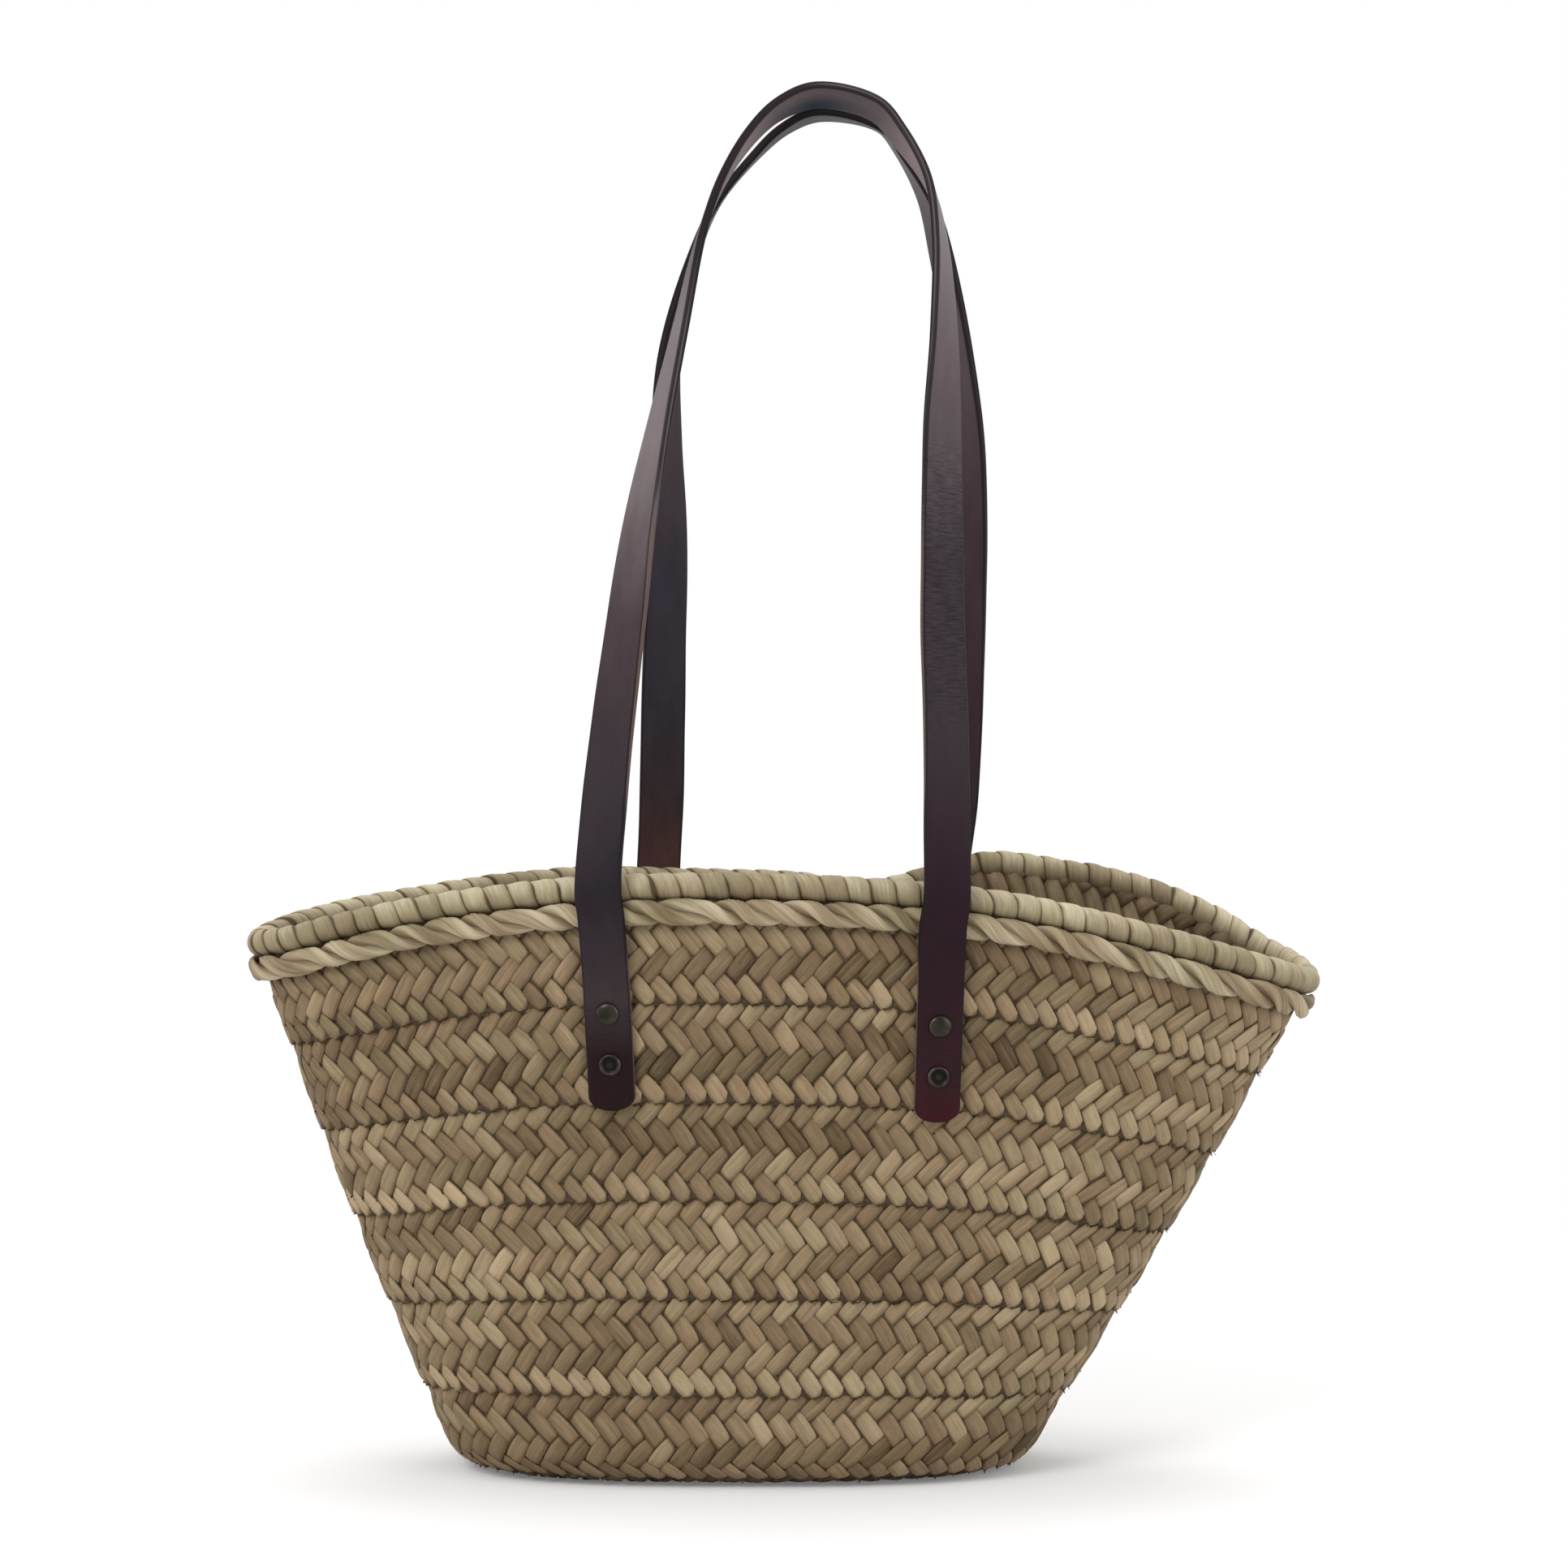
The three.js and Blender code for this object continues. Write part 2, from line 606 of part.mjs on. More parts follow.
// A strap's free loop, swept from the left bend over the top to the right bend
function strapLoop(left, right, leftShares, rightShares, topX, topHeight, tilt) {
  const side = left.back ? 1 : -1;
  const inset = (strapWidth / 2) * Math.cos(tilt) + strapHalf * Math.abs(Math.sin(tilt)) + clearance / 2;
  const top = { point: new THREE.Vector3(topX, side * inset, topHeight), roll: quarterTurn + tilt, side };
  const places = [
    ...legPlaces(left, leftShares, top),
    top,
    ...legPlaces(right, rightShares, top).reverse(),
  ];
  const curve = new THREE.CatmullRomCurve3(places.map((place) => place.point), false, "centripetal");
  const spans = places.length - 1;
  const away = new THREE.Vector3(0, side, 0);
  const facing = places.map((place, i) => {
    if (place.out) return place.out;
    const along = curve.getTangent(i / spans);
    const flat = away.clone().addScaledVector(along, -away.dot(along)).normalize();
    const over = along.clone().cross(flat).multiplyScalar(side).normalize();
    return flat.multiplyScalar(Math.cos(place.roll)).addScaledVector(over, Math.sin(place.roll));
  });
  const rings = [];
  const steps = spans * strapStepsPerPlace;
  for (let i = 0; i <= steps; i++) {
    const share = i / steps;
    const first = Math.min(Math.floor(share * spans), spans - 1);
    const along = i === 0 ? left.up.clone() : i === steps ? right.up.clone().negate() : curve.getTangent(share);
    const out = facing[first].clone().lerp(facing[first + 1], share * spans - first);
    out.addScaledVector(along, -out.dot(along)).normalize();
    rings.push(strapRing(curve.getPoint(share), along.clone().cross(out), out));
  }
  return bodyOfRings(rings, false);
}

// A turned piece whose axis stands out of the leather at a depth below the bend
function turned(end, depth, profile) {
  const geometry = new THREE.LatheGeometry(profile.map(([r, z]) => new THREE.Vector2(r, z)), capSides);
  return geometry.rotateX(quarterTurn).translate(0, -depth, 0).applyMatrix4(end.frame);
}

// Half a dome's profile, from its edge to the axis
function dome(radius, base, height) {
  return Array.from({ length: domeSteps + 1 }, (_, i) => {
    const turn = (quarterTurn * i) / domeSteps;
    return [i === domeSteps ? 0 : radius * Math.cos(turn), base + height * Math.sin(turn)];
  });
}

// Rivet: a cap on the leather with its post through the wall. The lower ones have a dished cap.
function rivet(end, depth, dished) {
  const seat = strapHalf + clearance;
  const postEnd = end.inside(depth) - socketDepth + clearance;
  const shank = [[0, postEnd], [postRadius, postEnd], [postRadius, seat], [capRadius, seat]];
  const face = dished
    ? [[capRadius, seat + capEdge], [mix(dishRadius, capRadius, 1 / 2), seat + capHeight],
      [dishRadius, seat + capHeight], [dishRadius - dishDepth, seat + capHeight - dishDepth],
      [0, seat + capHeight - dishDepth]]
    : dome(capRadius, seat + capEdge, capHeight - capEdge);
  return turned(end, depth, [...shank, ...face]);
}

// The rivet's other half: a domed cap inside the basket, pressed on the post
function innerCap(end, depth) {
  const seat = end.inside(depth);
  const cap = dome(innerCapRadius, seat - innerCapEdge, innerCapEdge - innerCapHeight).reverse();
  return turned(end, depth, [
    ...cap,
    [innerCapRadius, seat],
    [postHoleRadius, seat],
    [postHoleRadius, seat - socketDepth],
    [0, seat - socketDepth],
  ]);
}

add("plaited_wall", plaitedWall(), palm);
add("woven_base", wovenBase(), palm);
add("rim_binding", rimBinding(), palmPale);
add("rim_rope", rimRope(), palmPale);
add("front_strap", strapLoop(ends.front_left, ends.front_right,
  frontLeftShares, frontRightShares, frontTopX, frontTopHeight, frontTopTilt), leather);
add("back_strap", strapLoop(ends.back_left, ends.back_right,
  backLeftShares, backRightShares, backTopX, backTopHeight, backTopTilt), leather);
for (const [place, end] of Object.entries(ends)) {
  add(`strap_end_${place}`, strapTab(end), leather);
  for (const [level, depth] of Object.entries(rivetDepths)) {
    add(`rivet_${place}_${level}`, rivet(end, depth, level === "lower"), gunmetal);
    add(`inner_cap_${place}_${level}`, innerCap(end, depth), gunmetal);
  }
}

export default basket;
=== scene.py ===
import json
import math

import bpy
import numpy as np
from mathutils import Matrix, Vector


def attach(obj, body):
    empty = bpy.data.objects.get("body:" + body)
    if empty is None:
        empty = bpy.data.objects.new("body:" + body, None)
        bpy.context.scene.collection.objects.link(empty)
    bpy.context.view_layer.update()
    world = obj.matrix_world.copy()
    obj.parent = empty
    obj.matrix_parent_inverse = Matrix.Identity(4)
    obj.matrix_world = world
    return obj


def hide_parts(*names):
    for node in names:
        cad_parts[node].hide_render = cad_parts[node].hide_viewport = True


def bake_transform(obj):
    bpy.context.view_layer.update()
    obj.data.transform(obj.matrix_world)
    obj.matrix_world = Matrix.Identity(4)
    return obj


# A palm-leaf market basket with two leather straps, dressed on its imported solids.
# Lengths below are millimetres, and MM turns them to metres when a mesh is made.

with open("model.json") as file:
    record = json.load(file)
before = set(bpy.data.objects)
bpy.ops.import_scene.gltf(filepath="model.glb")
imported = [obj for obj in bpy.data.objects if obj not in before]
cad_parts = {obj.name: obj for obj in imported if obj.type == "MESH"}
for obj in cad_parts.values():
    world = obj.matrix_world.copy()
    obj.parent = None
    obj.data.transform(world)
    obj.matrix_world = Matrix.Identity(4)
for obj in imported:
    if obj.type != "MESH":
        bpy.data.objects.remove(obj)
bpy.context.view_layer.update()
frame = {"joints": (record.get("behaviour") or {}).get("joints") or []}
MM = 0.001
TAU = 2 * math.pi

# ---------------------------------------------------------------- camera
camera_data = bpy.data.cameras.new("camera")
camera_data.sensor_width = 36
camera_data.lens = 110.83
camera = bpy.data.objects.new("camera", camera_data)
camera.location = (0.0182, -2.112, 0.4324)
camera.rotation_euler = (math.radians(90 - 3.569), 0, 0)
bpy.context.scene.collection.objects.link(camera)
bpy.context.scene.camera = camera

# ---------------------------------------------------------------- sizes shared with the solids
FOOT = (108, 44)
HEEL = (130, 63)
MOUTH = (230, 80)
MOUTH_SHIFT = 18
HEEL_HEIGHT = 17
HEEL_TURN = math.radians(69)
HEEL_SHARE = 0.115
FOOT_ROUNDNESS = 2.6
BASE_HALF = 2.2
WALL_LENGTH = 265
WALL_BULGE = 3
RIM_HEIGHT = 264
RIM_SHARES = np.array([
    0.814, 0.831, 0.855, 0.902, 0.945, 0.971, 0.982, 0.936, 0.948, 0.953, 0.958, 0.947, 0.93, 0.914, 0.898, 0.884,
    0.875, 0.88, 0.892, 0.916, 0.943, 0.967, 0.985, 0.993, 0.992, 0.983, 0.965, 0.934, 0.898, 0.865, 0.838, 0.819])
TURNS = 6
START_SHARE = 0.055
TOP_SHARE = 0.977
TURN_SHARE = (TOP_SHARE - START_SHARE) / TURNS
LAP_SHARE = 1.5 / WALL_LENGTH
CLIMB_START = math.radians(15)
CLIMB_SPAN = math.radians(150)
BINDING = (5.6, 5.2)
ROPE_OFFSET = 5.1
ROPE_DROP = 10.7


def smooth(x):
    x = np.clip(x, 0, 1)
    return x * x * (3 - 2 * x)


def unit(v):
    return v / np.linalg.norm(v, axis=-1, keepdims=True)


def oval(angle, half_length, half_depth, roundness):
    c, s = np.cos(angle), np.sin(angle)
    power = 2 / roundness
    return np.stack([half_length * np.sign(c) * np.abs(c) ** power,
                     half_depth * np.sign(s) * np.abs(s) ** power], -1)


def rim_height(angle):
    count = len(RIM_SHARES)
    place = (angle / TAU % 1) * count
    first = np.floor(place).astype(int)
    t = place - first
    a, b, c, d = (RIM_SHARES[(first + i) % count] for i in (-1, 0, 1, 2))
    h = 2 * t**3 - 3 * t**2 + 1
    return RIM_HEIGHT * (b * h + c * (1 - h) + (c - a) / 2 * (t**3 - 2 * t**2 + t) + (d - b) / 2 * (t**3 - t**2))


def wall_middle(angle, share):
    """The wall's middle surface: share 0 is the edge of the flat base and 1 the rim's centre line."""
    angle, share = np.broadcast_arrays(np.asarray(angle, float), np.asarray(share, float))
    heel = oval(angle, *HEEL, FOOT_ROUNDNESS)
    foot = oval(angle, *FOOT, FOOT_ROUNDNESS)
    mouth = oval(angle, *MOUTH, 2) + np.array([MOUTH_SHIFT, 0])
    turn = HEEL_TURN * np.clip(share / HEEL_SHARE, 0, 1)
    low = foot + (heel - foot) * (np.sin(turn) / math.sin(HEEL_TURN))[..., None]
    low_z = BASE_HALF + (HEEL_HEIGHT - BASE_HALF) * (1 - np.cos(turn)) / (1 - math.cos(HEEL_TURN))
    climb = (share - HEEL_SHARE) / (1 - HEEL_SHARE)
    high = heel + (mouth - heel) * climb[..., None]
    high += unit(mouth - heel) * (WALL_BULGE * np.sin(math.pi * climb))[..., None]
    high_z = HEEL_HEIGHT + (rim_height(angle) - HEEL_HEIGHT) * climb
    below = share < HEEL_SHARE
    plan = np.where(below[..., None], low, high)
    return np.concatenate([plan, np.where(below, low_z, high_z)[..., None]], -1)


def wall_point(angle, share, offset=0.0, lift=0.0):
    angle, share, offset, lift = np.broadcast_arrays(angle, share, offset, lift)
    step = 1e-3
    low = np.clip(share - step, 0, 1 - 2 * step)
    along = unit(wall_middle(angle + step, low) - wall_middle(angle - step, low))
    rise = wall_middle(angle, low + 2 * step) - wall_middle(angle, low)
    out = unit(np.cross(along, unit(rise)))
    rise = np.cross(out, along)
    return wall_middle(angle, share) + out * offset[..., None] + rise * lift[..., None]


MOUTH_STEPS = np.linspace(0, TAU, 1441)
mouth_line = wall_middle(MOUTH_STEPS, 1.0)
mouth_run = np.concatenate([[0], np.cumsum(np.linalg.norm(np.diff(mouth_line, axis=0), axis=1))])


def mouth_angle(share):
    """The angle at a share of the way along the mouth's line, from its right end."""
    turn = np.floor(share)
    return turn * TAU + np.interp((share - turn) * mouth_run[-1], mouth_run, MOUTH_STEPS)


# ---------------------------------------------------------------- mesh and material helpers
def piece(name, points, quads, material, body, uv=None, leaf=None):
    """A mesh object from points in millimetres and faces of four corners, riding on a body if one is named."""
    points = np.asarray(points, float).reshape(-1, 3)
    quads = np.asarray(quads, int).reshape(-1, 4)
    mesh = bpy.data.meshes.new(name)
    mesh.vertices.add(len(points))
    mesh.vertices.foreach_set("co", (points * MM).ravel())
    mesh.loops.add(quads.size)
    mesh.loops.foreach_set("vertex_index", quads.ravel())
    mesh.polygons.add(len(quads))
    mesh.polygons.foreach_set("loop_start", np.arange(0, quads.size, 4))
    mesh.polygons.foreach_set("loop_total", np.full(len(quads), 4))
    mesh.update(calc_edges=True)
    mesh.polygons.foreach_set("use_smooth", np.ones(len(quads), bool))
    if uv is not None:
        layer = mesh.uv_layers.new(name="UVMap")
        layer.data.foreach_set("uv", np.asarray(uv, float).reshape(-1, 2)[quads.ravel()].ravel())
    if leaf is not None:
        colours = mesh.attributes.new("leaf", "FLOAT_COLOR", "POINT")
        colours.data.foreach_set("color", np.asarray(leaf, float).reshape(-1, 4).ravel())
    mesh.validate()
    mesh.materials.append(material)
    obj = bpy.data.objects.new(name, mesh)
    bpy.context.scene.collection.objects.link(obj)
    if body:
        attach(obj, body)
    return obj


def patch_quads(count, rows, columns, wrap=False, flip=False):
    """Faces of several grids of points, rows by columns each; wrap joins the last column to the first."""
    spans = columns if wrap else columns - 1
    r, c = np.meshgrid(np.arange(rows - 1), np.arange(spans), indexing="ij")
    a, b = r * columns + c, r * columns + (c + 1) % columns
    quads = np.stack([a, b, b + columns, a + columns], -1).reshape(-1, 4)
    if flip:
        quads = quads[:, ::-1]
    return (np.arange(count)[:, None, None] * (rows * columns) + quads[None]).reshape(-1, 4)


def face_along(quads, points, outward):
    """Turns over each face whose normal is against outward, a direction for a face's centre."""
    a, b, c = (points.reshape(-1, 3)[quads[:, i]] for i in (0, 1, 2))
    wrong = np.sum(np.cross(b - a, c - a) * outward((a + c) / 2), -1) < 0
    quads[wrong] = quads[wrong][:, ::-1]


def leaf_data(tone, hue, near, own):
    """Tone, hue, nearness to an edge and a number of its own, for each point of some leaf."""
    return np.stack(np.broadcast_arrays(tone, hue, near, own), -1)


def new_material(name):
    material = bpy.data.materials.new(name)
    material.use_nodes = True
    tree = material.node_tree
    return material, tree, tree.nodes["Principled BSDF"]


def node(tree, kind, links=None, **values):
    made = tree.nodes.new(kind)
    for key, value in values.items():
        setattr(made, key, value)
    for socket, source in (links or {}).items():
        tree.links.new(source, made.inputs[socket])
    return made


def maths(tree, operation, a, b=None, c=None, clamp=False):
    made = tree.nodes.new("ShaderNodeMath")
    made.operation = operation
    made.use_clamp = clamp
    for i, value in enumerate((a, b, c)):
        if value is None:
            continue
        if isinstance(value, (int, float)):
            made.inputs[i].default_value = value
        else:
            tree.links.new(value, made.inputs[i])
    return made.outputs[0]


def ramp(tree, factor, stops):
    made = tree.nodes.new("ShaderNodeValToRGB")
    elements = made.color_ramp.elements
    while len(elements) > 1:
        elements.remove(elements[-1])
    for i, (place, colour) in enumerate(stops):
        element = elements[0] if i == 0 else elements.new(place)
        element.position = place
        element.color = (*colour, 1)
    tree.links.new(factor, made.inputs[0])
    return made.outputs[0]


def mix_colour(tree, factor, a, b, blend="MIX"):
    made = tree.nodes.new("ShaderNodeMix")
    made.data_type = "RGBA"
    made.blend_type = blend
    for socket, value in ((made.inputs["Factor"], factor), (made.inputs[6], a), (made.inputs[7], b)):
        if isinstance(value, tuple):
            socket.default_value = (*value, 1)
        elif isinstance(value, (int, float)):
            socket.default_value = value
        else:
            tree.links.new(value, socket)
    return made.outputs[2]


def srgb(r, g, b):
    return tuple((v / 255 / 12.92) if v <= 10 else ((v / 255 + 0.055) / 1.055) ** 2.4 for v in (r, g, b))


def background_rays(tree):
    """1 for the camera's rays, and for those by which gloss or glass shows the background."""
    path = node(tree, "ShaderNodeLightPath")
    rays = maths(tree, "ADD", path.outputs["Is Camera Ray"], path.outputs["Is Glossy Ray"])
    return maths(tree, "ADD", rays, path.outputs["Is Transmission Ray"], clamp=True)


def stretched_noise(tree, across, along, detail=3.0, roughness=0.6, layer="UVMap"):
    uv = node(tree, "ShaderNodeUVMap", uv_map=layer).outputs[0]
    scaled = tree.nodes.new("ShaderNodeMapping")
    scaled.inputs["Scale"].default_value = (across, along, 1)
    tree.links.new(uv, scaled.inputs["Vector"])
    noise = tree.nodes.new("ShaderNodeTexNoise")
    noise.inputs["Scale"].default_value = 1
    noise.inputs["Detail"].default_value = detail
    noise.inputs["Roughness"].default_value = roughness
    tree.links.new(scaled.outputs[0], noise.inputs["Vector"])
    return noise.outputs["Fac"]


def leaf_material(name, dark, middle, light, edge=0.6, streak=0.36, roughness=0.62):
    """Dried palm leaf: fibres along it, pleats, a tone of its own for each piece of leaf, and painted shade near its
    edges.
    """
    material, tree, shader = new_material(name)
    leaf = node(tree, "ShaderNodeAttribute", attribute_name="leaf")
    split = node(tree, "ShaderNodeSeparateColor", {"Color": leaf.outputs["Color"]})
    tone, hue, rim = split.outputs
    fibre = stretched_noise(tree, 3.2, 0.16, 4)
    pleat = stretched_noise(tree, 0.9, 0.05, 1)
    blotch = stretched_noise(tree, 0.25, 0.12, 2)
    value = tone
    for pattern, strength in ((fibre, streak), (pleat, 1.1 * streak), (blotch, 0.3)):
        value = maths(tree, "ADD", value, maths(tree, "MULTIPLY", maths(tree, "SUBTRACT", pattern, 0.5), strength),
                      clamp=pattern is blotch)
    colour = ramp(tree, value, [(0, dark), (0.5, middle), (1, light)])
    tint = ramp(tree, hue, [(0, (1, 0.978, 0.932)),
                            (0.35, (1, 0.99, 0.965)), (0.65, (0.98, 1, 0.955)), (1, (0.9, 0.965, 0.9))])
    colour = mix_colour(tree, 1.0, colour, tint, "MULTIPLY")
    # Painted shade: near a leaf's edge, where it meets the next leaf, the colour is darkened and made a little
    # browner.
    shades = [maths(tree, "SUBTRACT", 1, maths(tree, "MULTIPLY", rim, edge * part)) for part in (0.94, 1.0, 1.1)]
    shade_colour = node(tree, "ShaderNodeCombineColor", dict(zip(("Red", "Green", "Blue"), shades)))
    colour = mix_colour(tree, 1.0, colour, shade_colour.outputs[0], "MULTIPLY")
    tree.links.new(colour, shader.inputs["Base Color"])
    tree.links.new(maths(tree, "MULTIPLY_ADD", fibre, 0.2, roughness - 0.1), shader.inputs["Roughness"])
    shader.inputs["Specular IOR Level"].default_value = 0.17
    bump = tree.nodes.new("ShaderNodeBump")
    bump.inputs["Strength"].default_value = 0.55
    bump.inputs["Distance"].default_value = 0.0004
    height = maths(tree, "ADD", maths(tree, "MULTIPLY", fibre, 0.5), maths(tree, "MULTIPLY", pleat, 1.2))
    tree.links.new(height, bump.inputs["Height"])
    tree.links.new(bump.outputs[0], shader.inputs["Normal"])
    return material


palm = leaf_material("palm_leaf", srgb(76, 59, 39), srgb(128, 108, 83), srgb(171, 152, 123))
palm_pale = leaf_material("palm_leaf_pale", srgb(90, 76, 55), srgb(144, 130, 104), srgb(206, 195, 169),
                          edge=0.72, streak=0.3)
rope_leaf = leaf_material("rope_leaf", srgb(100, 85, 61), srgb(149, 133, 107), srgb(186, 172, 147),
                          edge=0.42, streak=0.45)

# The leaf under and between the visible pieces of leaf is dark brown: painted shade for the gaps where it shows.
core_shade_material, core_tree, core_shader = new_material("palm_core_shade")
core_shader.inputs["Roughness"].default_value = 0.9
core_noise = node(core_tree, "ShaderNodeTexNoise")
core_noise.inputs["Scale"].default_value = 300
core_tree.links.new(ramp(core_tree, core_noise.outputs["Fac"],
                         [(0.3, srgb(58, 45, 30)), (0.7, srgb(84, 67, 47))]), core_shader.inputs["Base Color"])

# ---------------------------------------------------------------- plaited wall
CELL = 9.3
random = np.random.default_rng(7)


def climb_at(length):
    whole = np.floor(length)
    return whole + smooth((length - whole) * TAU / CLIMB_SPAN)


def strip_point(length, rows_up, side, rise):
    """A place on the plaited strip: turns along it, rows up it of four, and a height above its leaf."""
    climb = climb_at(length)
    width = TURN_SHARE + 2 * LAP_SHARE
    share = START_SHARE + TURN_SHARE * (climb - 1) - LAP_SHARE + rows_up / 4 * width
    v = rows_up / 4
    middle = np.interp(v, [0, 0.5, 1], [0.9, 0.3, -1.0])
    half = np.interp(v, [0, 0.5, 1], [1.3, 1.9, 1.3])
    clipped = np.maximum(START_SHARE - LAP_SHARE - share, share - TOP_SHARE)
    rise = rise - np.clip(clipped * WALL_LENGTH * 0.8, 0, 1.5)
    share = np.clip(share, START_SHARE - 2 * LAP_SHARE, TOP_SHARE + 0.5 * LAP_SHARE)
    if side < 0:
        # Inside, the last row is drawn up over the rim's core
        drawn = smooth((share - TOP_SHARE + 0.06) / 0.055)
        rise, share = rise + 2.7 * drawn, share + 0.013 * drawn
    return wall_point(CLIMB_START + length * TAU, share, middle + side * (half + rise))


TAPER = CLIMB_SPAN / TAU * 0.16
FIRST, LAST = TAPER, TURNS + CLIMB_SPAN / TAU - TAPER
stations = np.linspace(FIRST - 0.01, LAST + 0.01, 4000)
line = wall_middle(CLIMB_START + stations * TAU, np.clip(START_SHARE + TURN_SHARE * (climb_at(stations) - 0.5), 0, 1))
run = np.concatenate([[0], np.cumsum(np.linalg.norm(np.diff(line, axis=0), axis=1))])

S_FULL = np.array([-1.14, -1.02, -0.9, -0.84, -0.55, 0, 0.55, 0.84, 0.9, 1.02, 1.14])
T_FULL = np.array([-1.0, -0.96, -0.91, -0.45, 0.14, 0.24, 0.6, 0.91, 0.96, 1.0])
S_LESS = np.array([-1.14, -0.96, -0.6, 0, 0.6, 0.96, 1.14])
T_LESS = np.array([-1.0, -0.85, -0.35, 0.35, 0.85, 1.0])


def float_shape(s, t, curl_low, curl_high):
    """Height of a piece of leaf over its own middle, and how near a place is to its outline."""
    rise = -0.22 * t**2 - 0.95 * smooth((np.abs(t) - 0.91) / 0.1)
    rise = rise - 0.3 * s**2 - 1.2 * smooth((np.abs(s) - 0.84) / 0.32)
    low = np.where(curl_low, smooth((-s - 0.45) / 0.5), 0)
    high = np.where(curl_high, smooth((s - 0.45) / 0.5), 0)
    return rise - 0.3 * low - 0.4 * high, low + high


# Patches on the front of the wall: middle, half size, how much darker and how much greener. The two high up are
# darker, greener leaf; the two low on the left and right, lighter, are painted light, and the one along the bottom is
# painted shade.
TONE_AND_LIGHT_PATCHES = [(-103, 190, 58, 42, 0.22, 0.3), (123, 195, 30, 34, 0.16, 0.25), (126, 88, 38, 45, -0.22, 0.1),
           (-122, 74, 27, 42, -0.28, 0.1), (10, 4, 170, 16, 0.18, 0)]


def leaf_uv(ss, tt):
    """Millimetres across and along each piece of leaf, from a place of its own on the pattern of fibres."""
    seed = random.random((len(ss), 2))[..., None, None] * 400
    return np.stack([tt * 3.6 + seed[:, 0], ss * 7.1 + seed[:, 1]], -1).reshape(len(ss), -1, 2)


